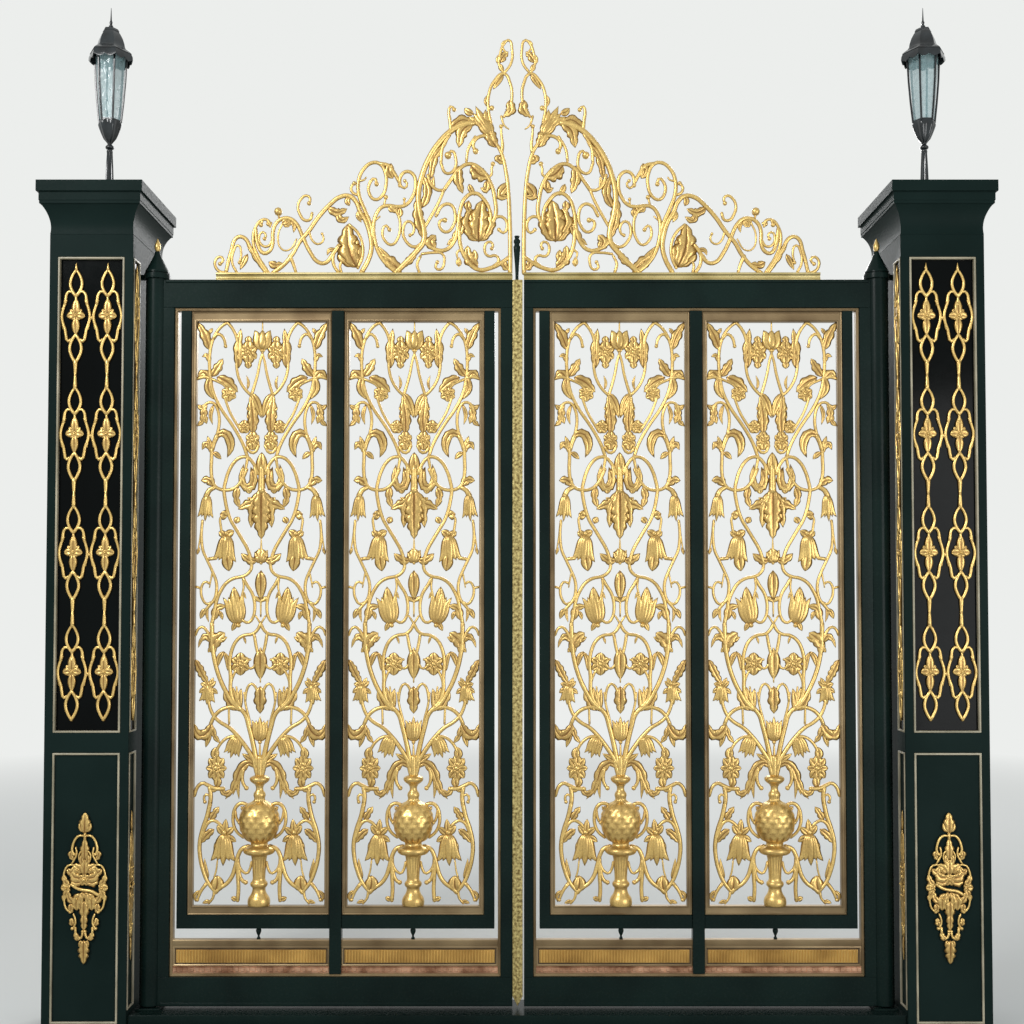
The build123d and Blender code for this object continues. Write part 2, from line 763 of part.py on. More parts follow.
def main():
    write("sill", sill())
    fixed = {
        "pillar": pillar(),
        "capital": capital(),
        "panel_trims": panel_trims(),
        "chain_grilles": chain_grilles(),
        "plaques": plaques(),
        "lantern_frame": lantern_frame(),
        "lantern_glass": lantern_glass(),
        "hinge_fittings": hinge_fittings(),
    }
    for name, shape in fixed.items():
        write(f"{name}_right", shape)
        write(f"{name}_left", mirrored(shape))

    panel = Pos(0, 0, panel_foot) * scroll_panel()
    scrolls = crest_scrolls()
    right_start = astragal_edge + meeting_gap
    for side, start in (("right", right_start), ("left", astragal_edge)):
        leaf_pieces = {
            "heel_post": heel_post(),
            "stiles": stiles(start),
            "rails": rails(start),
            "mullion": mullion(),
            "brass_surround": brass_surround(),
            "kick_plates": kick_plates(),
            "spindles": spindles(),
            "panel_carriers": panel_carriers(),
            "panel_frames": panel_frames(),
            "scroll_panel_inner": Pos(inner_panel_middle, 0, 0) * panel,
            "scroll_panel_outer": Pos(outer_panel_middle, 0, 0) * panel,
            "crest_rail": crest_rail(start),
            "crest_scrolls": scrolls,
        }
        for name, shape in leaf_pieces.items():
            write(f"{side}_{name}", mirrored(shape) if side == "left" else shape)
    write("astragal", astragal())
    write("centre_bolt", centre_bolt())


main()
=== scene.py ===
import logging
import math
from dataclasses import dataclass
from enum import Enum

import bmesh
import bpy
import numpy as np
from mathutils import Matrix, Vector


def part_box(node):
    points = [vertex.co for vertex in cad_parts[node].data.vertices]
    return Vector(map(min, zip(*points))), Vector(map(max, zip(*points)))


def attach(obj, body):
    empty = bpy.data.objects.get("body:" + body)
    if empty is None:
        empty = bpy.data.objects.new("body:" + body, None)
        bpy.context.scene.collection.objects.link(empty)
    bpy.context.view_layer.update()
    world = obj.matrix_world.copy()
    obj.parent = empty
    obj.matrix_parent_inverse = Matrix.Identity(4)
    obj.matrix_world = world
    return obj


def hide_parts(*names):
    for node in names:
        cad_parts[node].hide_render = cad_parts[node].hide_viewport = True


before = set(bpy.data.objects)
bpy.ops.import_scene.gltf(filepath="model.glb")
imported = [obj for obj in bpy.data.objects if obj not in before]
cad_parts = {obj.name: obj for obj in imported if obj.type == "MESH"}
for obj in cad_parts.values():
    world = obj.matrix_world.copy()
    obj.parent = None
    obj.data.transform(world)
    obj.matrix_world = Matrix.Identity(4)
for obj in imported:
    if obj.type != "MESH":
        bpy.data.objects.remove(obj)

# A pair of wrought iron driveway gates with gilt scrollwork between two lantern pillars.
# Sizes are in millimetres until a mesh is made. X runs across the gateway, Y away from the
# road and Z up. Scrollwork is drawn as X and Z from the middle of its own foot.
MM = 0.001
SIDES = {"left": -1, "right": 1}
PANELS = ("inner", "outer")
log = logging.getLogger("gateway")

Point = tuple[float, float]
Spot = tuple[float, float, float]
Profile = tuple[Point, ...]
Tree = bpy.types.NodeTree
Socket = bpy.types.NodeSocket
Material = bpy.types.Material
Mesh = bpy.types.Mesh


class Slot(Enum):
    """The record's material slots."""

    FRAME = "frame"
    PILLAR = "pillar"
    GOLD = "gold"
    BRASS = "brass"
    TRIM = "trim"
    LANTERN = "lantern"
    GLASS = "glass"


def linear(code: str) -> tuple[float, float, float, float]:
    """Turns an sRGB colour to linear light.

    Args:
        code: a hash and six hex digits.

    Returns:
        Red, green, blue and an opaque alpha.
    """
    parts = [int(code[start : start + 2], 16) / 255 for start in (1, 3, 5)]
    return tuple(p / 12.92 if p <= 0.04045 else ((p + 0.055) / 1.055) ** 2.4 for p in parts) + (1.0,)


def feed(tree: Tree, node: bpy.types.Node, inputs: dict[str | int, object]) -> None:
    """Sets a node's inputs.

    Args:
        tree: the node's tree.
        node: the node.
        inputs: socket names or numbers, each with a value or with the output that feeds it.
    """
    for socket, value in inputs.items():
        if isinstance(value, Socket):
            tree.links.new(value, node.inputs[socket])
        else:
            node.inputs[socket].default_value = value


def add(tree: Tree, kind: str, inputs: dict | None = None, **settings: object) -> bpy.types.Node:
    """Adds a node with its settings, input values and links.

    Args:
        tree: the tree that gets the node.
        kind: the node type.
        inputs: what its inputs get, as for feed.
        settings: the node's own properties.

    Returns:
        The new node.
    """
    node = tree.nodes.new(kind)
    for name, value in settings.items():
        setattr(node, name, value)
    feed(tree, node, inputs or {})
    return node


def mapped(tree: Tree, value: Socket, given: Point, wanted: Point = (0.0, 1.0)) -> Socket:
    """Adds a node that maps one range to another.

    Args:
        tree: the tree that gets the node.
        value: what is mapped.
        given: the ends of its range.
        wanted: what they become.

    Returns:
        The mapped value.
    """
    ends = {"From Min": given[0], "From Max": given[1], "To Min": wanted[0], "To Max": wanted[1]}
    return add(tree, "ShaderNodeMapRange", {"Value": value, **ends}).outputs["Result"]


def worked_out(tree: Tree, operation: str, *values: Socket) -> Socket:
    """Adds a node that works out one number from others."""
    return add(tree, "ShaderNodeMath", dict(enumerate(values)), operation=operation).outputs[0]


def noise(tree: Tree, place: Socket, size: float, detail: float) -> Socket:
    """Adds a noise with clouds of a size in millimetres."""
    inputs = {"Vector": place, "Scale": 1 / (size * MM), "Detail": detail}
    return add(tree, "ShaderNodeTexNoise", inputs).outputs["Fac"]


def bumped(tree: Tree, height: Socket, rise: float) -> Socket:
    """Adds a bump that rises by some millimetres."""
    return add(tree, "ShaderNodeBump", {"Height": height, "Distance": rise * MM}).outputs["Normal"]


# The colour pair of a mix node, and its colour result.
MIX_A = 6
MIX_B = 7
MIX_RESULT = 2


def tinted(tree: Tree, share: Socket, deep: str, light: str) -> Socket:
    """Adds a node that goes from a deep colour to a light one."""
    inputs = {0: share, MIX_A: linear(deep), MIX_B: linear(light)}
    return add(tree, "ShaderNodeMix", inputs, data_type="RGBA").outputs[MIX_RESULT]


def blank(name: str) -> tuple[Material, Tree, bpy.types.Node, Socket]:
    """Starts a material.

    Args:
        name: its name.

    Returns:
        The material, its tree, its shader and the object's own coordinates.
    """
    material = bpy.data.materials.new(name)
    material.use_nodes = True
    tree = material.node_tree
    return material, tree, tree.nodes["Principled BSDF"], add(tree, "ShaderNodeTexCoord").outputs["Object"]


# What a noise and a relief reach in practice, and how far speckle and clouds dull the gilding.
CLOUD_RANGE = (0.35, 0.65)
GRAIN_RANGE = (0.3, 0.7)
RIDGE_RANGE = (0.15, 0.95)
SPECKLE = (0.65, 1.0)
TONING = (0.78, 1.0)
WHOLE = (0.0, 1.0)


@dataclass(frozen=True)
class Coating:
    """A coat of paint, gilding or lacquer whose colour wanders between two tones.

    Attributes:
        name: the material's name.
        light: colour of the raised places and of the lighter clouds and grain.
        deep: colour of the hollows, which is patina and painted shade, and of the darker clouds.
        roughness: the coat's mean roughness.
        cloud: size of the colour clouds in millimetres.
        grain: size of the surface grain in millimetres.
        bump: height of that grain in millimetres.
        metallic: how metallic the pigment is.
        specular: specular level, 0.5 being plain enamel.
        relief: whether the piece's own relief darkens its hollows with patina and painted shade.
    """

    name: str
    light: str
    deep: str
    roughness: float
    cloud: float
    grain: float
    bump: float
    metallic: float = 0.0
    specular: float = 0.5
    relief: bool = False

    def build(self) -> Material:
        """Makes the material.

        Returns:
            The material.
        """
        material, tree, shader, place = blank(self.name)
        grain = noise(tree, place, self.grain, 2.0)
        share = mapped(tree, noise(tree, place, self.cloud, 3.0), CLOUD_RANGE)
        if self.relief:
            # Patina and painted shade: the hollows in the piece's relief take the deep colour, mottled by the
            # grain.
            raised = add(tree, "ShaderNodeAttribute", attribute_name="relief").outputs["Fac"]
            speckle = mapped(tree, grain, GRAIN_RANGE, SPECKLE)
            patina_shade_speckle = worked_out(tree, "MULTIPLY", mapped(tree, raised, RIDGE_RANGE), speckle)
            share = worked_out(tree, "MULTIPLY", patina_shade_speckle, mapped(tree, share, WHOLE, TONING))
        inputs = {
            "Base Color": tinted(tree, share, self.deep, self.light),
            "Roughness": mapped(tree, grain, WHOLE, (self.roughness * 0.7, self.roughness * 1.3)),
            "Normal": bumped(tree, grain, self.bump),
            "Metallic": self.metallic,
            "Specular IOR Level": self.specular,
        }
        feed(tree, shader, inputs)
        return material


def lantern_glass() -> Material:
    """Makes clear pressed glass, faintly blue-green, that lets the far ribs show.

    Returns:
        The material.
    """
    material, tree, shader, place = blank("lantern_glass")
    ripple = noise(tree, place, 18, 1.0)
    inputs = {"Base Color": tinted(tree, ripple, "#6f9296", "#b4cdd0"), "Normal": bumped(tree, ripple, 0.4)}
    feed(tree, shader, {**inputs, "Roughness": 0.06, "IOR": 1.5, "Alpha": 0.5})
    return material


# Each coat's light and deep tone, roughness, cloud, grain and bump.
COATS = (
    # Gloss enamel brushed on steel: nearly black, with a green cast.
    Coating("gloss_enamel", "#13221f", "#0d1917", 0.26, 350, 9, 0.1, specular=0.08),
    # The same enamel on the sheet-metal casing of the pillars, a little flatter.
    Coating("casing_enamel", "#172422", "#111d1b", 0.4, 500, 12, 0.08, specular=0.02),
    # Black lacquer behind the chains: smooth and deep.
    Coating("black_lacquer", "#070b0b", "#040606", 0.12, 400, 30, 0.04, specular=0.06),
    # Gold paint over a brown ground on rough cast iron: bright on ridges, umber in hollows, which is partly
    # patina and partly painted shade.
    Coating("gilt_casting", "#f0cf80", "#693c10", 0.32, 90, 5, 0.35, metallic=0.7, relief=True),
    # Drawn brass of the panel frames, dulled to brown.
    Coating("aged_brass", "#94805f", "#6d5a3f", 0.36, 260, 3, 0.08, metallic=0.7),
    # Brass sheet, finely hammered and worn olive on the meeting strip.
    Coating("hammered_brass", "#cbba7c", "#6b5a30", 0.4, 11, 6, 1.2, metallic=0.7),
    # Brass sheet rolled with reeds, more amber than the frames.
    Coating("kick_brass", "#cba35a", "#a27c40", 0.36, 160, 4, 0.15, metallic=0.7),
    # Copper-pink gilding on the band under the reeds.
    Coating("band_bronze", "#cda283", "#8b6248", 0.4, 60, 4, 0.15, metallic=0.7),
    # Dark brown in the groove round the reeds: patina that has settled there and painted shade of the groove.
    Coating("groove_shade_patina", "#4b371f", "#2d2013", 0.5, 60, 4, 0.1, metallic=0.3),
    # Pale gold leaf on the crest's rail.
    Coating("pale_gilt", "#cfbe86", "#a8955c", 0.3, 180, 4, 0.1, metallic=0.7),
    # Thin grey-beige enamel on the beads round the pillar panels.
    Coating("bead_enamel", "#a79f88", "#7d7762", 0.35, 150, 5, 0.08),
    # Black stove enamel on the lantern castings.
    Coating("lantern_enamel", "#23292c", "#101416", 0.16, 60, 4, 0.12, specular=0.45),
)


class Shop:
    """The finishes and the two geometry trees, built once for all pieces."""

    def __init__(self) -> None:
        """Builds them."""
        self.materials = {coat.name: coat.build() for coat in COATS}
        self.materials["lantern_glass"] = lantern_glass()
        self.bars = forged_bar_tree()
        self.rows = row_tree()

    def __getitem__(self, name: str) -> Material:
        """The finish of a name."""
        return self.materials[name]


def chords(knots: np.ndarray) -> np.ndarray:
    """Distance of each point from the first, along straight lines."""
    return np.concatenate(([0.0], np.cumsum(np.linalg.norm(np.diff(knots, axis=0), axis=1))))


def smooth_path(knots: np.ndarray, count: int) -> np.ndarray:
    """Places evenly spaced along a smooth line through some points.

    Args:
        knots: two or more points, one row each.
        count: how many places to give.

    Returns:
        The places, one row each.
    """
    chord = chords(knots)
    at = np.linspace(0, chord[-1], count)
    if len(knots) == 2:
        return knots[0] + (at / chord[-1])[:, None] * (knots[1] - knots[0])
    slopes = np.gradient(knots, chord, axis=0)
    span = np.clip(np.searchsorted(chord, at, side="right") - 1, 0, len(knots) - 2)
    length = (chord[span + 1] - chord[span])[:, None]
    t = (at - chord[span])[:, None] / length
    start = (2 * t**3 - 3 * t**2 + 1) * knots[span] + (t**3 - 2 * t**2 + t) * length * slopes[span]
    end = (3 * t**2 - 2 * t**3) * knots[span + 1] + (t**3 - t**2) * length * slopes[span + 1]
    return start + end


def around(count: int) -> np.ndarray:
    """Angles evenly round a whole turn."""
    return np.linspace(0, 2 * np.pi, count, endpoint=False)


def hoop(reach: float | np.ndarray, turns: np.ndarray, z: float | np.ndarray) -> np.ndarray:
    """Points round the upright axis, by their distance from it, angle and height."""
    return np.stack(np.broadcast_arrays(reach * np.cos(turns), reach * np.sin(turns), z), -1)


def ball(middle: Point, radius: float, depth: float, sides: int, rings: int) -> np.ndarray:
    """Makes loops round a ball or a lens, from its front to its back.

    Args:
        middle: its X and Z.
        radius: its radius in the leaf's plane.
        depth: its radius out of that plane.
        sides: how many points each loop has.
        rings: how many loops there are.

    Returns:
        The loops.
    """
    rise = np.linspace(-np.pi / 2, np.pi / 2, rings)[:, None]
    rows = hoop(radius * np.cos(rise), around(sides), depth * np.sin(rise))
    return rows[:, :, [0, 2, 1]] + (middle[0], 0, middle[1])


def capped(rows: list[np.ndarray] | np.ndarray) -> np.ndarray:
    """Loops with a pole before the first and after the last."""
    first, last = (np.broadcast_to(row.mean(0), row.shape) for row in (rows[0], rows[-1]))
    return np.array([first, *rows, last])


# Relief of bars and turned work, and of the lanterns' and flowers' smooth parts.
BAR_RELIEF = 0.85
SMOOTH_RELIEF = 0.9
# Points nearer than this are one, and a face of less than this many square metres is none.
WELD = 0.01
SPECK = 1e-12


class Casting:
    """Closed shells that together make one piece, in millimetres, each point with its relief."""

    def __init__(self) -> None:
        """Starts with no shell."""
        self.shells: list[tuple[np.ndarray, np.ndarray, np.ndarray]] = []

    def take(self, points: np.ndarray, relief: np.ndarray, faces: np.ndarray) -> None:
        """Takes in a shell.

        Args:
            points: its points.
            relief: the relief of each.
            faces: its four-cornered faces, numbered from its first point.
        """
        self.shells.append((points, relief, faces))

    def loft(self, rows: np.ndarray, relief: np.ndarray | float, ring: bool = False) -> None:
        """Skins closed loops of points.

        Args:
            rows: loops by points by three coordinates. The first and last loops are poles.
            relief: 1 on ridges to 0 in hollows, for each point.
            ring: whether the last loop joins the first instead, as round a frame.
        """
        loops, across = rows.shape[:2]
        first = np.arange(loops if ring else loops - 1)[:, None] * across
        after = (first + across) % (loops * across)
        column = np.arange(across)[None, :]
        beside = (column + 1) % across
        faces = np.stack((first + column, first + beside, after + beside, after + column), -1)
        self.take(rows.reshape(-1, 3), np.broadcast_to(relief, rows.shape[:2]).ravel(), faces.reshape(-1, 4))

    def take_mesh(self, mesh: Mesh) -> None:
        """Takes in a mesh and drops it.

        Args:
            mesh: the mesh, in metres and with its relief.
        """
        points = np.empty(len(mesh.vertices) * 3)
        mesh.vertices.foreach_get("co", points)
        faces = [tuple(face.vertices) for face in mesh.polygons]
        four = [face for face in faces if len(face) == 4]
        fans = [(f[0], f[i], f[i + 1], f[i + 1]) for f in faces if len(f) != 4 for i in range(1, len(f) - 1)]
        relief = np.empty(len(mesh.vertices), np.float32)
        mesh.attributes["relief"].data.foreach_get("value", relief)
        self.take(points.reshape(-1, 3) / MM, relief, np.array(four + fans).reshape(-1, 4))
        bpy.data.meshes.remove(mesh)

    def add(self, other: "Casting", scale: Spot = (1, 1, 1), by: Spot = (0, 0, 0)) -> None:
        """Takes in another casting.

        Args:
            other: the casting, which stays as it is.
            scale: how it is stretched or mirrored first.
            by: how far it is moved then.
        """
        turn = np.prod(scale) < 0
        for points, relief, faces in other.shells:
            self.take(points * scale + by, relief, faces[:, ::-1] if turn else faces)

    def turned(self, quarter: int) -> "Casting":
        """Makes a copy turned a quarter about the upright axis.

        Args:
            quarter: 1 for a turn from +X to +Y, or -1 for one the other way.

        Returns:
            The copy.
        """
        copy = Casting()
        for points, relief, faces in self.shells:
            own = np.stack((-quarter * points[:, 1], quarter * points[:, 0], points[:, 2]), -1)
            copy.take(own, relief, faces)
        return copy

    def strip(self, profile: Profile, x0: float, x1: float, z: float) -> None:
        """Adds a straight moulding that lies along X.

        Args:
            profile: distance from the leaf's plane and height of each point of one face, upwards.
            x0: where it starts.
            x1: where it ends.
            z: height of its foot.
        """
        face = np.array(profile, float)
        section = np.concatenate((face * (-1, 1), face[::-1])) + (0, z)
        self.loft(capped([np.insert(section, 0, x, axis=1) for x in (x0, x1)]), BAR_RELIEF)

    def post(self, profile: Profile, z0: float, z1: float) -> None:
        """Adds a straight upright reed to both faces.

        Args:
            profile: X and distance from the leaf's plane of each point of its section.
            z0: height of its foot.
            z1: height of its head.
        """
        for face in (-1, 1):
            section = np.array(profile, float) * (1, face)
            self.loft(capped([np.insert(section, 2, z, axis=1) for z in (z0, z1)]), BAR_RELIEF)

    def frame(self, profile: Profile, low: Vector, high: Vector, foot: float = 0, head: float = 0) -> None:
        """Adds a mitred rectangular frame.

        Args:
            profile: distance in from the outer edge and from the leaf's plane of each point.
            low: its lowest corner.
            high: its highest corner.
            foot: how much wider its foot is than its sides.
            head: how much wider its head is.
        """
        face = np.array(profile, float)
        section = np.concatenate((face * (1, -1), face[::-1]))
        inner = (section[:, 0] > face[:, 0].max() / 2).astype(float)
        loops = []
        for sideways, upwards in ((1, 1), (-1, 1), (-1, -1), (1, -1)):
            x = (low.x if sideways > 0 else high.x) + sideways * section[:, 0]
            wider = foot if upwards > 0 else head
            z = (low.z if upwards > 0 else high.z) + upwards * (section[:, 0] + wider * inner)
            loops.append(np.column_stack((x, section[:, 1], z)))
        self.loft(np.array(loops), BAR_RELIEF, ring=True)

    def mesh(self, name: str, sharp: float = 0.0) -> Mesh:
        """Makes the mesh, in metres, with its poles closed and its faces outwards.

        Args:
            name: the mesh's name.
            sharp: edges that turn by more degrees than this stay sharp, or 0 for none.

        Returns:
            The mesh, smoothly shaded.
        """
        points, relief, faces = zip(*self.shells)
        before = np.cumsum([0] + [len(part) for part in points])
        numbered = np.concatenate([part + start for part, start in zip(faces, before)])
        mesh = bpy.data.meshes.new(name)
        corners_of = [tuple(dict.fromkeys(face)) for face in numbered.tolist()]
        mesh.from_pydata((np.concatenate(points) * MM).tolist(), [], corners_of)
        layer = mesh.attributes.new("relief", "FLOAT", "POINT")
        layer.data.foreach_set("value", np.concatenate(relief).astype(np.float32))
        shape = bmesh.new()
        shape.from_mesh(mesh)
        bmesh.ops.remove_doubles(shape, verts=shape.verts, dist=WELD * MM)
        flat = [face for face in shape.faces if face.calc_area() < SPECK]
        bmesh.ops.delete(shape, geom=flat, context="FACES_ONLY")
        bmesh.ops.recalc_face_normals(shape, faces=shape.faces)
        shape.to_mesh(mesh)
        shape.free()
        mesh.shade_smooth()
        if sharp:
            mesh.set_sharp_from_angle(angle=math.radians(sharp))
        return mesh


def put(name: str, data: bpy.types.ID) -> bpy.types.Object:
    """Puts a new object into the scene.

    Args:
        name: its name.
        data: its mesh, curve, lamp or camera.

    Returns:
        The object.
    """
    thing = bpy.data.objects.new(name, data)
    bpy.context.scene.collection.objects.link(thing)
    return thing


def harvest(host: bpy.types.Object) -> Mesh:
    """Keeps what an object's modifiers make of it, and drops the object.

    Args:
        host: the object.

    Returns:
        The mesh.
    """
    graph = bpy.context.evaluated_depsgraph_get()
    mesh = bpy.data.meshes.new_from_object(host.evaluated_get(graph))
    bpy.data.objects.remove(host)
    return mesh


def evaluated(source: bpy.types.ID, tree: Tree, values: dict[str, object]) -> Mesh:
    """Runs a node tree on a curve or mesh and keeps only the mesh that it makes.

    Args:
        source: the curve or mesh that goes in.
        tree: the geometry tree.
        values: the tree's inputs by name.

    Returns:
        The mesh.
    """
    host = put(source.name, source)
    modifier = host.modifiers.new("shape", "NODES")
    modifier.node_group = tree
    sockets = {item.name: item.identifier for item in tree.interface.items_tree if item.in_out == "INPUT"}
    for name, value in values.items():
        modifier[sockets[name]] = value
    return harvest(host)


def geometry_tree(name: str, inputs: dict[str, str], output: str) -> Tree:
    """Starts a geometry tree.

    Args:
        name: its name.
        inputs: the kind of each of its inputs, by name.
        output: the name of the geometry that comes out.

    Returns:
        The tree, with no node yet.
    """
    tree = bpy.data.node_groups.new(name, "GeometryNodeTree")
    for label, kind in inputs.items():
        tree.interface.new_socket(label, in_out="INPUT", socket_type=f"NodeSocket{kind}")
    tree.interface.new_socket(output, in_out="OUTPUT", socket_type="NodeSocketGeometry")
    return tree


def dress(tree: Tree, geometry: Socket, finish: Socket) -> None:
    """Ends a geometry tree by giving its geometry a material."""
    dressed = add(tree, "GeometryNodeSetMaterial", {"Geometry": geometry, "Material": finish})
    add(tree, "NodeGroupOutput", {0: dressed.outputs["Geometry"]})


# How far a bar's normal points to a face before it counts as all face, and the lower relief of its sides,
# which darkens them as painted shade.
FACE_ON = 0.8
SIDE_SHADE_RELIEF = 0.2


def forged_bar_tree() -> Tree:
    """Makes the tree that sweeps a round bar of each point's own radius along every curve.

    Returns:
        The tree, whose bars have more relief on their faces than on their sides, so their sides are darkened
        as painted shade.
    """
    inputs = {"Curves": "Geometry", "Sides": "Int", "Step": "Float", "Finish": "Material"}
    tree = geometry_tree("forged_bar", inputs, "Bars")
    given = add(tree, "NodeGroupInput").outputs
    path = {"Curve": given["Curves"], "Length": given["Step"]}
    stepped = add(tree, "GeometryNodeResampleCurve", path, mode="LENGTH").outputs["Curve"]
    circle = add(tree, "GeometryNodeCurvePrimitiveCircle", {"Resolution": given["Sides"], "Radius": 1.0})
    radius = add(tree, "GeometryNodeInputRadius").outputs[0]
    sweep = {"Curve": stepped, "Profile Curve": circle.outputs["Curve"], "Scale": radius, "Fill Caps": True}
    bars = add(tree, "GeometryNodeCurveToMesh", sweep).outputs["Mesh"]
    whole = add(tree, "GeometryNodeRealizeInstances", {"Geometry": bars}).outputs["Geometry"]
    # Painted shade: relief falls from the bars' faces to their sides, and the gilding darkens with it.
    normal = add(tree, "GeometryNodeInputNormal").outputs["Normal"]
    depth = add(tree, "ShaderNodeSeparateXYZ", {0: normal}).outputs["Y"]
    facing = worked_out(tree, "ABSOLUTE", depth)
    relief = mapped(tree, facing, (0.0, FACE_ON), (SIDE_SHADE_RELIEF, 1.0))
    store = {"Geometry": whole, "Name": "relief", "Value": relief}
    kept = add(tree, "GeometryNodeStoreNamedAttribute", store, data_type="FLOAT")
    dress(tree, kept.outputs["Geometry"], given["Finish"])
    return tree


def row_tree() -> Tree:
    """Makes the tree that repeats the piece that goes in along a straight line.

    Returns:
        The tree.
    """
    inputs = {"Piece": "Geometry", "Count": "Int", "Step": "Vector", "Finish": "Material"}
    tree = geometry_tree("row", inputs, "Row")
    given = add(tree, "NodeGroupInput").outputs
    places = add(tree, "GeometryNodeMeshLine", {"Count": given["Count"], "Offset": given["Step"]})
    repeat = {"Points": places.outputs["Mesh"], "Instance": given["Piece"]}
    copies = add(tree, "GeometryNodeInstanceOnPoints", repeat)
    whole = add(tree, "GeometryNodeRealizeInstances", {"Geometry": copies.outputs["Instances"]})
    dress(tree, whole.outputs["Geometry"], given["Finish"])
    return tree


@dataclass(frozen=True)
class Stem:
    """A forged round bar that tapers along a curve.

    Attributes:
        line: X and Z of each point that the bar passes through, one after the other.
        start: its diameter at the first point.
        end: its diameter at the last point.
        knob: diameter of a bead at its end, or 0.
    """

    line: tuple[float, ...]
    start: float
    end: float
    knob: float = 0.0


# A cast leaf: how much wider than drawn it is, how deep its lobes are cut, how thick it is in parts
# of its width and at least, how wide and deep the groove on its midrib is, and how far its edges
# bend to one face and sweep towards its tip.
LEAF_FULLNESS = 1.3
LOBE_CUT = 0.38
LEAF_THICKNESS = 0.13
LEAF_SKIN = 2.5
MIDRIB_WIDTH = 0.15
MIDRIB_DEPTH = 0.55
LEAF_BEND = 0.12
LEAF_SWEEP = 0.3
# Points round a leaf's section: how far across it, and on which face.
ACROSS = np.array([-1, -0.6, -0.2, 0, 0.2, 0.6, 1, 0.6, 0.2, 0, -0.2, -0.6])
FACE = np.array([0, -1, -1, -1, -1, -1, 0, 1, 1, 1, 1, 1])


@dataclass(frozen=True)
class Leaf:
    """A cast leaf with a grooved midrib, the same from both faces.

    Attributes:
        spine: X and Z of each point from its stalk to its tip, one after the other.
        width: its greatest width.
        lobes: how many lobes each edge has, or 0 for a plain edge.
        swell: how thick it is for a plain leaf of its width.
        groove: how deep the groove on its midrib is for a plain leaf's.
    """

    spine: tuple[float, ...]
    width: float
    lobes: int = 0
    swell: float = 1.0
    groove: float = 1.0

    def cast(self, casting: Casting) -> None:
        """Adds the leaf to a casting.

        Args:
            casting: the casting that takes it.
        """
        steps = 4 * self.lobes + 3 if self.lobes else 9
        t = np.linspace(0, 1, steps)[:, None]
        line = smooth_path(np.reshape(self.spine, (-1, 2)).astype(float), steps)
        along = np.gradient(line, axis=0)
        along /= np.linalg.norm(along, axis=1)[:, None]
        side = np.stack((-along[:, 1], along[:, 0]), -1)
        outline = np.sin(np.pi * t**0.75) ** 0.8 + 0.25 * (1 - t) * t**0.3
        ragged = np.ones((steps, 1))
        if self.lobes:
            phase = (t * self.lobes) % 1.0
            ragged = 1 - LOBE_CUT + LOBE_CUT * np.sin(np.pi * phase**0.8) ** 0.7
        width = self.width * LEAF_FULLNESS
        half = width / 2 * outline * ragged
        belly = self.swell * (LEAF_THICKNESS * width + LEAF_SKIN) * np.sin(np.pi * t**0.6) ** 0.5
        midrib = self.groove * np.exp(-((ACROSS / MIDRIB_WIDTH) ** 2))
        crown = (1 - ACROSS**2) ** 0.6 - MIDRIB_DEPTH * midrib
        depth = belly * crown * FACE - LEAF_BEND * half * ACROSS**2
        plane = line[:, None, :] + side[:, None, :] * (half * ACROSS)[:, :, None]
        plane = plane + along[:, None, :] * (LEAF_SWEEP * half * ACROSS**2)[:, :, None]
        rows = np.stack((plane[:, :, 0], depth, plane[:, :, 1]), -1)
        for end in (0, -1):
            rows[end] = (line[end][0], 0, line[end][1])
        # Painted shade, partly umber patina: dark in the midrib, at the very edge, between lobes and towards
        # the stalk.
        hollow = 1 - 0.75 * midrib - 0.5 * ACROSS**8
        casting.loft(rows, hollow * (0.45 + 0.55 * ragged) * (0.7 + 0.3 * t))


class Mouth(Enum):
    """How a flower opens, as its width at each quarter of the way from stalk to tip."""

    OPEN = (0.4, 0.6, 0.95, 1.7)
    CLOSED = (0.9, 1.2, 1.1, 0.75)
    CUP = (0.75, 1.05, 1.2, 1.75)


# A flower's petals: how much shorter the outermost and every second one are, how far the outermost
# spread for the flower's width, how broad one is for its share of that width, how thick the
# middle one is, and how deep its groove is. Then the radius of the bead at the flower's foot.
OUTER_SHORTENING = 0.14
SECOND_SHORTENING = 0.12
PETAL_SPREAD = 0.32
PETAL_BREADTH = 1.5
PETAL_SWELL = 2.2
PETAL_GROOVE = 0.1
FOOT_BEAD = 0.14


@dataclass(frozen=True)
class Bloom:
    """A flower seen from its side: overlapping pointed petals, the middle ones foremost.

    Attributes:
        stalk: where it starts.
        tip: where its petals end.
        width: its greatest width.
        mouth: how it opens.
        petals: how many petals show on each face.
        lobes: how many lobes each petal's edge has.
    """

    stalk: Point
    tip: Point
    width: float
    mouth: Mouth = Mouth.OPEN
    petals: int = 5
    lobes: int = 0

    def cast(self, casting: Casting) -> None:
        """Adds the flower to a casting.

        Args:
            casting: the casting that takes it.
        """
        base = np.array(self.stalk, float)
        axis = np.array(self.tip, float) - base
        side = np.array((-axis[1], axis[0])) / np.linalg.norm(axis)
        for petal, share in enumerate(np.linspace(-1, 1, self.petals)):
            reach = 1 - OUTER_SHORTENING * share**2 - SECOND_SHORTENING * (petal % 2)
            spine = [base]
            for quarter, spread in enumerate(self.mouth.value, start=1):
                out = side * self.width * PETAL_SPREAD * spread * share
                spine.append(base + axis * quarter / len(self.mouth.value) * reach + out)
            line = tuple(np.concatenate(spine))
            broad = PETAL_BREADTH * self.width / self.petals
            Leaf(line, broad, self.lobes, PETAL_SWELL - abs(share), PETAL_GROOVE).cast(casting)
        bead(casting, tuple(base), self.width * FOOT_BEAD)


# A rosette's two rounds of petals: how far they reach, how far they are turned in petals, and
# their swell. Then how broad its petals are for their share of the round, and its button.
ROSETTE_ROUNDS = ((1.0, 0.0, 1.0), (0.55, 0.5, 2.0))
ROSETTE_BREADTH = 1.25
ROSETTE_BUTTON = 0.15
BUTTON_DEPTH = 13


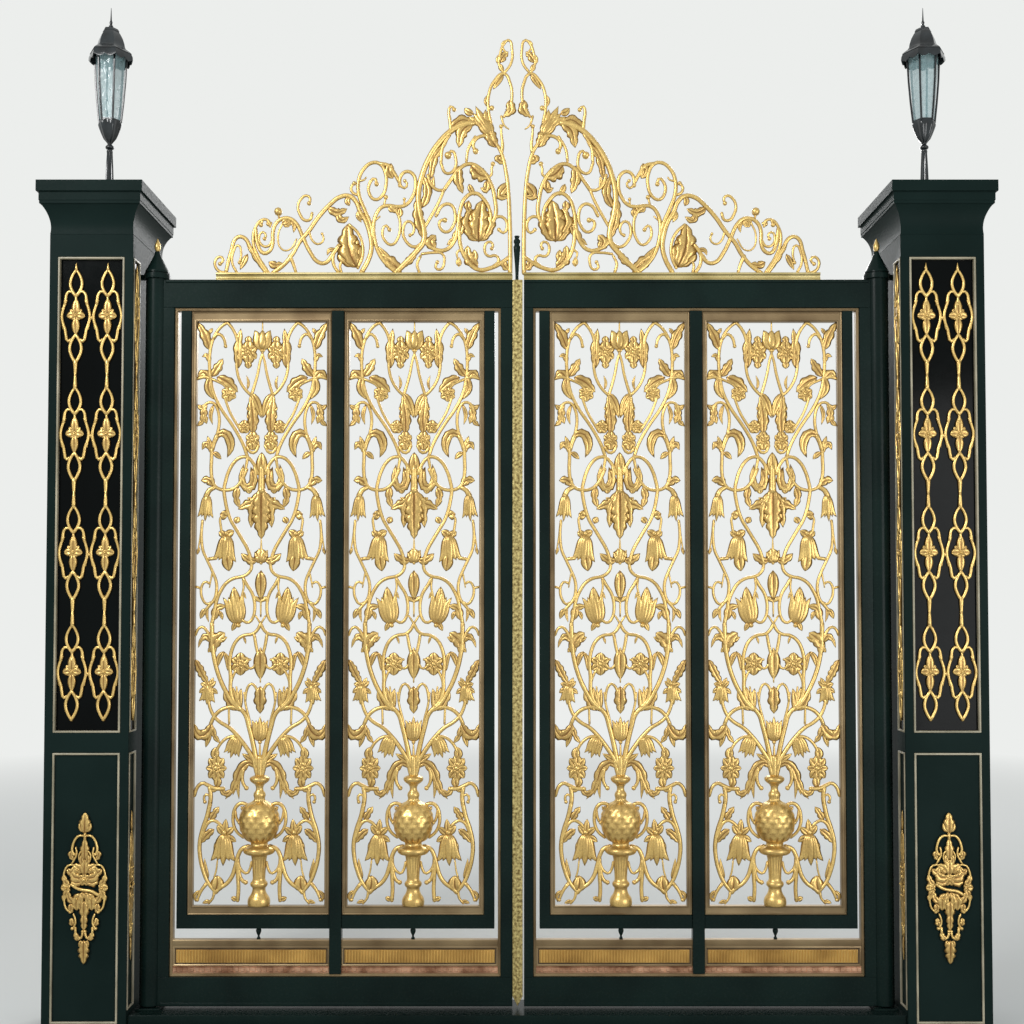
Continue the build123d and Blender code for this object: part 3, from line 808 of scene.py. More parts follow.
@dataclass(frozen=True)
class Rosette:
    """An open flower that faces both ways, with a button in its middle.

    Attributes:
        centre: its middle.
        width: its size across.
        height: its size upright.
        petals: how many petals are in each of its two rounds.
    """

    centre: Point
    width: float
    height: float
    petals: int = 6

    def cast(self, casting: Casting) -> None:
        """Adds the flower to a casting.

        Args:
            casting: the casting that takes it.
        """
        middle = np.array(self.centre, float)
        for reach, shift, swell in ROSETTE_ROUNDS:
            for petal in range(self.petals):
                angle = 2 * math.pi * (petal + shift) / self.petals + math.pi / 2
                out = np.array((self.width * math.cos(angle), self.height * math.sin(angle))) / 2 * reach
                spine = np.concatenate([middle + out * share for share in (0.1, 0.55, 1.0)])
                broad = ROSETTE_BREADTH * math.sin(math.pi / self.petals) * np.hypot(*out)
                Leaf(tuple(spine), broad, swell=swell).cast(casting)
        radius = min(self.width, self.height) * ROSETTE_BUTTON
        casting.loft(ball(self.centre, radius, BUTTON_DEPTH, 10, 7), SMOOTH_RELIEF)


# How many flats go round a bar, and the length of its steps.
BAR_SIDES = 8
BAR_STEP = 11


@dataclass(frozen=True)
class Scrollwork:
    """One drawing of scrollwork: its bars, leaves and flowers.

    Attributes:
        stems: the bars.
        leaves: the leaves.
        blooms: the flowers seen from their sides.
        rosettes: the flowers that face out.
        weight: how thick the bars are for their drawn diameters.
    """

    stems: tuple[Stem, ...] = ()
    leaves: tuple[Leaf, ...] = ()
    blooms: tuple[Bloom, ...] = ()
    rosettes: tuple[Rosette, ...] = ()
    weight: float = 1.0

    def cast(self, shop: Shop) -> Casting:
        """Makes the casting of this drawing.

        Args:
            shop: the shop that has the gilding and the tree that sweeps bars.

        Returns:
            The casting, as drawn.
        """
        casting = Casting()
        if self.stems:
            values = {"Sides": BAR_SIDES, "Step": BAR_STEP * MM, "Finish": shop["gilt_casting"]}
            casting.take_mesh(evaluated(self.curves(), shop.bars, values))
        for stem in self.stems:
            bead(casting, stem.line[:2], stem.start / 2 * self.weight)
            bead(casting, stem.line[-2:], max(stem.end, stem.knob) / 2 * self.weight)
        for piece in (*self.leaves, *self.blooms, *self.rosettes):
            piece.cast(casting)
        return casting

    def curves(self) -> bpy.types.Curve:
        """Makes the bars' middle lines.

        Returns:
            The curves with their radii, in metres.
        """
        curves = bpy.data.curves.new("bars", "CURVE")
        curves.dimensions = "3D"
        curves.resolution_u = 8
        for stem in self.stems:
            spline = curves.splines.new("BEZIER")
            points = np.reshape(stem.line, (-1, 2)).astype(float)
            spline.bezier_points.add(len(points) - 1)
            chord = chords(points)
            for knot, (x, z), share in zip(spline.bezier_points, points, chord / chord[-1]):
                knot.co = (x * MM, 0, z * MM)
                knot.handle_left_type = knot.handle_right_type = "AUTO"
                knot.radius = (stem.start + (stem.end - stem.start) * share) / 2 * self.weight * MM
        return curves


def bead(casting: Casting, place: Point, radius: float) -> None:
    """Adds a small ball, as at the rolled end of a bar."""
    casting.loft(ball(place, radius, radius, 8, 6), BAR_RELIEF)


def mirrored(half: Scrollwork, middle: Scrollwork, shop: Shop) -> Casting:
    """Makes the casting of a drawing that is the same on both sides.

    Args:
        half: the drawing of its +X half.
        middle: what stands on its middle line.
        shop: the shop, as for each drawing.

    Returns:
        The casting.
    """
    side = half.cast(shop)
    whole = middle.cast(shop)
    whole.add(side)
    whole.add(side, scale=(-1, 1, 1))
    return whole


def turned(casting: Casting, profile: Profile, sides: int, smooth: int = 1, by: Spot = (0, 0, 0)) -> None:
    """Adds a turned shape about an upright axis.

    Args:
        casting: the casting that takes it.
        profile: radius and height of each point, upwards.
        sides: how many flats go round.
        smooth: how many steps each stretch of the profile gets.
        by: how far it is moved from the middle.
    """
    line = np.array(profile, float)
    if smooth > 1:
        line = smooth_path(line, (len(profile) - 1) * smooth + 1)
    casting.loft(capped(hoop(line[:, :1], around(sides), line[:, 1:]) + by), BAR_RELIEF)


# Half of one panel's scrollwork, as X from its middle and Z from its foot.
PANEL_STEMS = (
    # The bundle that stands in the vase's mouth.
    Stem((8, 524, 14, 548, 24, 590), 14, 14),
    # From the vase's dish down to the corner leaf and up the outer edge.
    Stem((44, 240, 70, 230, 85, 205, 97, 160, 112, 115, 135, 86, 160, 70, 178, 52), 13, 13),
    Stem((176, 52, 208, 92, 230, 145, 242, 200, 244, 250, 232, 310, 215, 360, 203, 413), 12, 14),
    Stem((203, 413, 200, 445, 205, 478), 14, 13), Stem((215, 88, 236, 60, 252, 22), 12, 8, 12),
    Stem((184, 55, 188, 30, 205, 8), 9, 7),
    Stem((86, 195, 82, 160, 66, 136, 50, 130, 38, 146, 31, 175), 10, 8),
    Stem((83, 150, 77, 116, 66, 98, 55, 93), 10, 12, 15), Stem((88, 180, 87, 120, 84, 70, 87, 20), 12, 12),
    Stem((184, 112, 176, 140, 171, 180), 6, 5),
    # Vase handles and the hooks beside the vase's mouth.
    Stem((48, 406, 68, 415, 86, 411, 101, 392, 108, 360, 105, 325, 90, 296, 66, 276), 12, 9),
    Stem((100, 392, 97, 366, 91, 346, 82, 336), 8, 9, 13),
    Stem((66, 558, 72, 522, 66, 492, 54, 477), 12, 10, 15),
    # Side vine with its inner curl.
    Stem((150, 474, 185, 476, 212, 488, 233, 497, 253, 484, 267, 446), 14, 10),
    Stem((203, 425, 206, 446, 218, 451, 228, 440, 224, 420), 9, 8, 12),
    Stem((152, 318, 170, 336, 190, 345, 210, 336, 226, 308, 240, 268), 10, 12),
    # The bouquet that fans from the vase.
    Stem((10, 566, 20, 620, 33, 680, 46, 730, 60, 776, 84, 806), 16, 14),
    Stem((16, 580, 54, 640, 92, 690, 128, 725, 162, 745, 187, 768, 205, 802, 214, 840), 15, 10),
    Stem((84, 797, 110, 808, 140, 805, 170, 790, 191, 765, 203, 738), 12, 12),
    Stem((95, 690, 130, 684, 155, 666, 172, 642, 180, 622), 10, 9), Stem((129, 808, 127, 740), 7, 7),
    Stem((0, 585, 0, 655), 10, 5), Stem((66, 866, 59, 815, 45, 760, 39, 728), 7, 8),
    Stem((82, 800, 93, 850, 98, 890), 9, 6),
    Stem((84, 806, 107, 830, 121, 870, 122, 930, 126, 990, 116, 1048, 95, 1085, 66, 1103, 34, 1108, 14, 1124,
        0, 1152), 13, 10),
    Stem((84, 800, 112, 825, 140, 870, 161, 912, 179, 962, 191, 1012, 198, 1062, 200, 1112, 201, 1150), 14,
        14),
    # Heart with its daisy, and the small hoop under it.
    Stem((62, 832, 58, 868, 48, 895, 36, 904, 24, 896, 10, 868), 8, 9),
    Stem((26, 1104, 19, 1062, 9, 1020), 10, 10), Stem((16, 1012, 22, 982, 37, 966, 52, 972, 60, 990), 9, 8),
    Stem((57, 986, 52, 1000, 43, 1003), 6, 6, 9), Stem((98, 962, 112, 935, 121, 905), 8, 8),
    Stem((204, 1085, 222, 1121, 240, 1137, 256, 1130, 268, 1104), 11, 8),
    # Arches over the lilies.
    Stem((201, 1150, 191, 1202, 181, 1250, 166, 1285, 141, 1320, 110, 1338, 76, 1345, 55, 1356, 41, 1376, 39,
        1402), 12, 10),
    Stem((72, 1336, 55, 1306, 38, 1280, 28, 1250, 25, 1212, 32, 1176, 48, 1156, 62, 1156, 76, 1168), 11, 9),
    Stem((32, 1264, 18, 1252, 2, 1242), 8, 8), Stem((0, 1250, 0, 1180), 6, 5),
    Stem((20, 1182, 10, 1166, 0, 1150), 6, 7), Stem((74, 1330, 71, 1302, 77, 1274, 84, 1248), 7, 6),
    # Outer vine that loops at half height.
    Stem((243, 1575, 247, 1530, 246, 1490, 240, 1452, 222, 1412, 200, 1365, 185, 1325, 183, 1285, 192, 1250,
        212, 1225, 230, 1204), 9, 10),
    Stem((204, 1238, 222, 1231, 238, 1248, 247, 1280, 243, 1308, 230, 1323, 215, 1318), 9, 8, 10),
    Stem((200, 1362, 206, 1335, 212, 1300), 7, 4), Stem((246, 1295, 258, 1300, 268, 1302), 8, 8),
    Stem((245, 1562, 252, 1505, 262, 1448), 8, 4), Stem((187, 1421, 216, 1417), 12, 11),
    # Diagonals from the knot to the upper loops.
    Stem((38, 1400, 55, 1455, 80, 1500, 104, 1540, 125, 1575, 140, 1615, 150, 1660, 155, 1704, 148, 1742,
        136, 1780, 112, 1820, 86, 1838, 60, 1838, 38, 1818, 14, 1770), 11, 11),
    Stem((163, 1524, 168, 1556, 170, 1584, 158, 1602), 8, 8),
    Stem((62, 1788, 74, 1760, 90, 1731, 110, 1711, 140, 1702, 170, 1705, 190, 1716, 203, 1742, 209, 1782,
        208, 1830, 207, 1872), 11, 11),
    Stem((194, 1713, 214, 1703, 228, 1678), 14, 18),
    Stem((28, 1796, 27, 1742, 37, 1712, 51, 1702, 66, 1716, 76, 1746), 12, 8),
    Stem((0, 1700, 0, 1800), 24, 18), Stem((58, 1836, 65, 1800, 72, 1762), 10, 8),
    # Crossing vines under the top.
    Stem((60, 1842, 75, 1886, 101, 1937, 131, 1984, 162, 2028, 187, 2072, 201, 2105, 212, 2150, 219, 2215,
        217, 2280, 205, 2330, 184, 2368, 162, 2390, 145, 2399), 11, 10),
    Stem((145, 2399, 122, 2370, 106, 2332, 103, 2296, 112, 2268), 10, 11),
    Stem((88, 1950, 110, 1985, 131, 2022, 146, 2060, 156, 2090), 9, 8),
    Stem((60, 1880, 45, 1858, 29, 1859, 14, 1886), 10, 10),
    Stem((186, 1930, 179, 1962, 177, 2000, 184, 2036, 200, 2062, 222, 2066, 240, 2050, 246, 2020), 10, 9),
    Stem((205, 1868, 197, 1900, 186, 1926), 12, 16),
    Stem((45, 2095, 70, 2120, 92, 2155, 104, 2195, 106, 2240, 98, 2264), 10, 9),
    Stem((45, 2095, 31, 2140, 18, 2190, 10, 2235, 0, 2270), 10, 8), Stem((0, 2272, 20, 2304, 34, 2338), 6, 5),
    Stem((205, 2330, 184, 2351, 162, 2335, 153, 2300), 11, 9, 12),
    Stem((206, 2162, 182, 2152, 160, 2140, 146, 2122), 9, 8), Stem((212, 2165, 240, 2172, 268, 2165), 11, 10),
)
PANEL_LEAVES = (
    Leaf((178, 52, 170, 86, 172, 122), 40), Leaf((206, 108, 219, 148, 224, 192), 13),
    Leaf((86, 22, 100, 26, 114, 33), 16), Leaf((240, 62, 262, 40, 258, 12), 12),
    Leaf((198, 20, 216, 14, 232, 8), 12), Leaf((78, 402, 66, 392, 60, 370), 15),
    Leaf((6, 556, 42, 580, 76, 558, 96, 508, 114, 466, 142, 430), 30, 5),
    Leaf((112, 472, 136, 452, 166, 480), 22, 2), Leaf((78, 548, 89, 496, 84, 430), 13),
    Leaf((92, 525, 100, 482, 110, 446), 11), Leaf((203, 345, 186, 372, 165, 402), 24, 2),
    Leaf((184, 310, 210, 290, 240, 252), 26, 3), Leaf((205, 478, 190, 470, 170, 478), 16),
    # Sheath and tip of the side rose.
    Leaf((179, 478, 172, 500, 176, 530), 24), Leaf((180, 590, 184, 620, 176, 646), 26),
    # Five petals at the daffodil's neck.
    Leaf((142, 285, 140, 318, 137, 352), 20), Leaf((140, 285, 122, 302, 102, 318), 20),
    Leaf((140, 280, 118, 272, 94, 258), 20), Leaf((146, 285, 160, 306, 174, 326), 20),
    Leaf((148, 270, 168, 250, 186, 222), 20),
    # Wing on the frame side, and the little lobes inside it.
    Leaf((196, 742, 213, 708, 242, 690, 262, 708, 271, 742), 36, 4), Leaf((203, 714, 212, 680, 223, 642), 17),
    Leaf((196, 732, 188, 694, 163, 658), 20, 2), Leaf((20, 584, 46, 600, 74, 618), 17),
    Leaf((96, 792, 126, 826, 150, 878), 28, 2), Leaf((90, 800, 104, 840, 112, 892), 20),
    Leaf((86, 790, 86, 840, 78, 886), 22), Leaf((72, 1100, 65, 1085, 60, 1066), 8),
    Leaf((150, 1038, 169, 1010, 178, 970), 18), Leaf((150, 1036, 137, 1004, 135, 956), 15),
    Leaf((193, 1020, 196, 1060, 197, 1108), 25), Leaf((196, 1046, 180, 1086, 146, 1114), 44, 3),
    Leaf((196, 1060, 172, 1080, 136, 1096), 24, 2), Leaf((200, 1072, 222, 1100, 250, 1078), 26, 2),
    Leaf((198, 1060, 206, 1046, 217, 1032), 14), Leaf((222, 1104, 243, 1086, 257, 1050), 11),
    Leaf((268, 1004, 252, 970, 238, 942, 222, 915, 209, 893), 27, 5),
    # Star above the hanging bell.
    Leaf((212, 886, 198, 902, 182, 914), 18), Leaf((212, 890, 200, 914, 192, 930), 14),
    Leaf((214, 888, 230, 900, 247, 904), 18), Leaf((214, 884, 234, 878, 252, 866), 18),
    Leaf((210, 882, 192, 876, 174, 862), 16),
    # Knot over the lilies.
    Leaf((14, 1412, 45, 1410, 84, 1441), 28, 2), Leaf((30, 1262, 16, 1252, 4, 1240), 14),
    Leaf((100, 1190, 106, 1240, 111, 1304), 34), Leaf((98, 1160, 108, 1142, 119, 1120), 16),
    Leaf((193, 1162, 176, 1216, 138, 1224), 28, 2), Leaf((172, 1204, 163, 1188, 157, 1166), 13),
    Leaf((74, 1286, 69, 1270, 60, 1252), 8), Leaf((222, 1214, 238, 1196, 249, 1170), 17),
    Leaf((218, 1222, 222, 1190, 214, 1155), 10), Leaf((254, 1466, 260, 1450, 264, 1434), 10),
    # The tulip's two collar leaves and long middle petal.
    Leaf((148, 1506, 132, 1522, 112, 1534), 24), Leaf((150, 1506, 162, 1522, 176, 1530), 22),
    Leaf((142, 1440, 138, 1404, 132, 1366), 34), Leaf((172, 1604, 158, 1600, 140, 1594), 30),
    Leaf((106, 1562, 100, 1578, 90, 1590), 20),
    # Great acanthus on the middle line.
    Leaf((0, 1700, 22, 1662, 36, 1610, 43, 1545), 36, 3),
    Leaf((4, 1690, 34, 1650, 62, 1640, 98, 1622), 36, 4), Leaf((30, 1665, 48, 1664, 58, 1672), 14),
    Leaf((95, 1718, 105, 1676, 90, 1626), 25, 2),
    Leaf((46, 1800, 32, 1745, 44, 1714, 68, 1714, 82, 1752, 74, 1812), 28),
    Leaf((50, 1716, 52, 1704, 50, 1686), 20), Leaf((194, 1720, 222, 1744, 252, 1741), 30, 2),
    # Hook leaf and its neighbours beside the crossing vines.
    Leaf((190, 1912, 176, 1936, 152, 1936, 132, 1908, 129, 1874, 144, 1836), 30),
    Leaf((208, 1850, 214, 1890, 226, 1928), 18), Leaf((208, 1866, 231, 1896, 248, 1868), 22, 2),
    Leaf((204, 1860, 190, 1852, 167, 1830), 17), Leaf((240, 2050, 240, 2010, 228, 1976), 26, 2),
    Leaf((200, 2060, 213, 2010, 204, 1972), 13), Leaf((245, 2025, 248, 1988, 270, 1966), 20, 2),
    Leaf((226, 2060, 248, 2042, 269, 2058), 20, 2), Leaf((38, 1934, 36, 2000, 42, 2050, 47, 2102), 36, 5),
    Leaf((48, 2108, 30, 2084, 2, 2000), 24), Leaf((46, 1990, 54, 2002, 63, 2016), 11),
    Leaf((48, 2028, 56, 2038, 64, 2048), 11),
    # Top: corner spear, sheaths, bud ends and tips of the great roses.
    Leaf((216, 2282, 236, 2340, 270, 2402), 34, 3), Leaf((214, 2180, 222, 2120, 196, 2076), 26),
    Leaf((210, 2172, 186, 2208, 163, 2250), 30, 3), Leaf((216, 2158, 244, 2190, 268, 2166), 28, 2),
    Leaf((216, 2230, 232, 2262, 252, 2256), 18, 2), Leaf((98, 2208, 100, 2290, 90, 2376), 32, 3),
    Leaf((190, 2172, 146, 2152, 100, 2108), 36, 3), Leaf((57, 2310, 58, 2326, 57, 2344), 22),
    Leaf((57, 2240, 58, 2226, 58, 2206), 22), Leaf((84, 2262, 96, 2290, 92, 2330), 16),
    Leaf((62, 2118, 57, 2150, 66, 2180), 9), Leaf((222, 2350, 214, 2366, 206, 2376), 12),
)
PANEL_BLOOMS = (
    Bloom((143, 296), (148, 158), 96), Bloom((93, 690), (121, 598), 60, Mouth.CUP),
    Bloom((211, 904), (220, 816), 62), Bloom((92, 1144), (118, 1288), 78, Mouth.CUP),
    Bloom((142, 1522), (153, 1388), 90), Bloom((224, 1690), (233, 1570), 62),
)
PANEL_ROSETTES = (
    Rosette((178, 558), 88, 116, 8), Rosette((82, 985), 80, 96), Rosette((38, 1908), 62, 84),
    Rosette((73, 1964), 56, 60, 5), Rosette((138, 2102), 68, 68), Rosette((57, 2275), 76, 104),
)
# What stands on the panel's middle line, beside the vase.
PANEL_MIDDLE = Scrollwork(
    stems=(
        Stem((0, 1440, 0, 1500), 12, 5), Stem((0, 910, 0, 1048), 6, 10), Stem((0, 2270, 0, 2404), 10, 6),
        Stem((0, 522, 0, 556, 0, 600), 26, 30),
    ),
    leaves=(
        Leaf((0, 1050, 0, 1000, 0, 920), 40), Leaf((0, 895, 0, 850, 0, 780), 40, 3),
        Leaf((0, 1712, 0, 1640, 0, 1498), 62, 6), Leaf((0, 1764, 0, 1800, 0, 1860), 34),
        Leaf((0, 1372, 0, 1320, 0, 1246), 34), Leaf((0, 1395, 0, 1425, 0, 1462), 44, 2),
    ),
    blooms=(
        Bloom((0, 664), (0, 772), 62, Mouth.CUP), Bloom((0, 1400), (0, 1464), 50, Mouth.CUP, 4),
        Bloom((0, 2282), (0, 2382), 60, Mouth.CUP, 3),
    ),
)
# Radius and height of the vase's outline.
VASE_PROFILE = (
    (44, 0), (46, 10), (44, 28), (31, 50), (27, 62), (27, 72), (34, 80), (35, 92), (27, 102), (26, 124),
    (27, 150), (31, 194), (34, 204), (56, 210), (64, 218), (64, 230), (54, 238), (36, 246), (34, 254),
    (52, 266), (68, 286), (78, 312), (82, 342), (78, 372), (66, 397), (48, 414), (28, 424), (22, 430),
    (22, 438), (25, 447), (23, 458), (17, 466), (15, 480), (20, 491), (32, 500), (40, 509), (41, 518),
    (32, 525), (20, 530),
)
# How deep the vase is for its width.
VASE_FLATNESS = 0.9


@dataclass(frozen=True)
class Vase:
    """The turned vase at a panel's foot, with rings of ribs and a girdle of scales.

    Attributes:
        gadroons: how many ribs go round it.
        ribbed: middle and half height of each ring of ribs.
        girdle: middle and half height of the scales' zone.
        scales: how many scales go round it.
        scale_foot: height of the lowest row of scales.
        scale_rise: height of a row.
        scale_depth: how far the scales stand out.
    """

    gadroons: int = 14
    ribbed: Profile = ((270, 14), (428, 14), (165, 36))
    girdle: Point = (345, 62)
    scales: int = 12
    scale_foot: float = 280.0
    scale_rise: float = 22.0
    scale_depth: float = 4.5

    def cast(self, casting: Casting) -> None:
        """Adds the vase to a casting.

        Args:
            casting: the casting that takes it.
        """
        line = smooth_path(np.array(VASE_PROFILE, float), 120)
        turns = around(84)
        height = line[:, 1:]
        ribbed = sum(np.exp(-(((height - middle) / half) ** 2)) for middle, half in self.ribbed)
        band = np.exp(-(((height - self.girdle[0]) / self.girdle[1]) ** 6))
        ribs = np.abs(np.cos(self.gadroons / 2 * turns)) - 0.6
        row = (height - self.scale_foot) / self.scale_rise
        scale = np.abs(np.cos(self.scales / 2 * turns + np.floor(row) * np.pi / 2)) * (1 - 0.75 * (row % 1))
        swell = ribbed * ribs * 0.1 * line[:, :1] + band * (scale - 0.35) * self.scale_depth
        rows = hoop(line[:, :1] + swell, turns, height) * (1, VASE_FLATNESS, 1)
        # Painted shade, partly patina: the gilding is darker in the grooves between the ribs and the scales.
        relief = np.clip(0.8 + swell / 7, 0.1, 1.0)
        casting.loft(capped(rows), np.pad(relief, ((1, 1), (0, 0)), mode="edge"))


# One leaf's cresting, as X from the meeting edge and Z from the crest rail's foot.
CREST_STEMS = (
    # End scroll and first arch.
    Stem((1207, 37, 1235, 40, 1255, 64, 1252, 91, 1233, 101, 1221, 88, 1235, 72), 9, 8, 12),
    Stem((1210, 37, 1189, 123, 1165, 180, 1137, 180, 1107, 135, 1075, 81, 1041, 34), 11, 12),
    Stem((1165, 37, 1184, 77, 1179, 123, 1161, 148, 1147, 114, 1154, 77), 8, 7, 11),
    # Second arch with its inner spiral and bud.
    Stem((1034, 35, 1082, 113, 1098, 172, 1088, 222, 1060, 253, 1034, 248, 1028, 226), 11, 8),
    Stem((1058, 253, 1066, 232), 7, 7, 14),
    Stem((1088, 216, 1077, 148, 1055, 116, 1031, 123, 1016, 157, 1016, 199, 1004, 236, 974, 258, 942, 256,
        915, 232, 891, 182, 859, 118, 826, 79, 795, 77, 770, 106, 740, 148), 11, 12),
    Stem((1016, 173, 1038, 143, 1065, 152, 1073, 182, 1061, 202, 1045, 192, 1050, 175), 8, 7, 12),
    Stem((991, 262, 994, 286), 6, 7, 24), Stem((974, 241, 994, 190, 977, 131, 947, 130, 917, 173), 6, 5),
    # Long diagonal over to the tall arch.
    Stem((1016, 34, 969, 69, 933, 113, 908, 157, 866, 207, 826, 264, 782, 312, 740, 345, 698, 350, 669, 325,
        654, 288, 629, 246, 611, 190, 605, 140, 617, 91, 646, 37), 12, 14),
    Stem((944, 103, 930, 72, 918, 34), 12, 8),
    Stem((853, 279, 862, 253, 885, 251, 903, 274, 912, 308, 898, 340, 876, 352, 861, 340, 866, 320), 9, 8,
        13),
    Stem((866, 210, 849, 165, 826, 153, 804, 173, 811, 195), 7, 6, 9),
    Stem((740, 148, 762, 114, 763, 72, 740, 34), 10, 10), Stem((701, 72, 718, 89, 735, 69, 730, 37), 8, 8),
    Stem((698, 232, 662, 199, 642, 148, 644, 98, 662, 56), 9, 9),
    # Middle arch with its bud and spirals.
    Stem((598, 177, 608, 232, 635, 295, 659, 359, 659, 418, 639, 461, 603, 487, 571, 482, 548, 443, 546, 392,
        561, 352, 590, 335, 614, 357, 612, 406, 592, 421, 585, 399), 12, 9, 14),
    Stem((659, 354, 683, 362, 691, 387, 678, 402), 9, 8, 13), Stem((657, 412, 637, 416, 629, 426), 7, 5),
    Stem((571, 482, 536, 475, 511, 443, 489, 404), 12, 10),
    Stem((489, 392, 484, 433, 459, 451, 432, 438, 422, 399, 435, 347, 464, 313, 496, 306, 528, 310, 560, 306,
        585, 278, 597, 227, 592, 173, 573, 114, 543, 72, 504, 39), 10, 12),
    Stem((487, 399, 472, 382, 457, 397, 467, 412), 8, 7, 11), Stem((470, 311, 469, 337), 6, 6, 10),
    Stem((529, 308, 497, 278, 486, 226, 496, 177, 521, 150, 546, 163, 560, 202, 546, 229, 531, 212), 9, 8,
        13),
    Stem((592, 248, 571, 266), 6, 5), Stem((555, 308, 546, 345), 7, 6, 14),
    # Great arch and the spirals that hang in it.
    Stem((504, 37, 462, 77, 420, 121, 388, 165, 388, 216, 403, 274, 411, 350, 396, 431, 368, 502, 326, 567,
        277, 616, 225, 643, 183, 650), 16, 17),
    Stem((275, 616, 280, 662, 284, 700, 275, 719, 262, 705), 11, 8, 13),
    Stem((388, 165, 425, 141, 460, 163, 474, 212, 455, 246, 433, 234, 433, 197, 445, 189), 10, 8, 11),
    Stem((388, 216, 354, 273, 322, 333, 305, 374), 10, 9),
    Stem((305, 374, 332, 375, 358, 397, 371, 434), 9, 11),
    Stem((305, 374, 272, 421, 241, 461, 199, 482, 151, 461, 110, 404, 92, 337, 88, 278, 102, 237), 11, 12),
    Stem((317, 485, 294, 443, 262, 458, 255, 503, 272, 535, 287, 517), 9, 9, 22),
    Stem((280, 603, 310, 552, 317, 485), 10, 9),
    Stem((337, 269, 310, 311, 277, 315, 257, 276, 265, 229, 294, 202, 321, 222, 319, 249, 300, 251), 10, 9,
        15),
    # Lower crossing bars and the scrolls on the rail.
    Stem((388, 165, 348, 135, 300, 128, 263, 162, 246, 221, 238, 283, 213, 345, 174, 362, 135, 333, 112, 288,
        108, 241), 12, 11),
    Stem((240, 214, 235, 148, 209, 89, 162, 49, 105, 57, 58, 81, 31, 101), 12, 12),
    Stem((105, 57, 75, 89, 88, 106, 120, 104, 135, 135, 120, 162, 100, 153, 105, 135), 9, 8, 12),
    Stem((108, 237, 85, 264, 53, 259, 41, 226, 56, 199, 75, 212), 10, 8, 12),
    Stem((395, 113, 348, 118, 310, 113, 302, 81, 319, 49, 339, 59, 331, 79), 8, 8, 12),
    Stem((406, 37, 415, 72, 401, 104), 9, 8), Stem((230, 130, 250, 120, 246, 94), 9, 5),
    # Upright beside the bolt and its crown of loops.
    Stem((29, 35, 28, 131, 31, 266, 36, 367, 46, 451, 65, 527, 81, 556, 115, 591, 156, 594, 183, 562, 172,
        534), 13, 10, 18),
    Stem((211, 492, 203, 544, 174, 593), 8, 9), Stem((65, 525, 60, 559, 65, 603, 66, 636), 11, 6, 13),
    Stem((124, 426, 106, 438, 106, 462, 100, 482), 8, 7, 14),
    Stem((108, 650, 119, 704, 117, 771, 92, 827, 55, 854, 28, 812, 21, 761, 31, 711, 53, 677), 9, 9),
    Stem((55, 854, 76, 896, 70, 936, 56, 975, 34, 992, 21, 956, 24, 899, 55, 854), 8, 8),
    Stem((34, 992, 61, 980, 56, 953, 43, 939), 7, 6, 10), Stem((76, 896, 85, 911, 78, 926), 8, 7),
    Stem((65, 677, 53, 640, 34, 625), 8, 4), Stem((115, 707, 105, 712), 9, 9, 15),
)
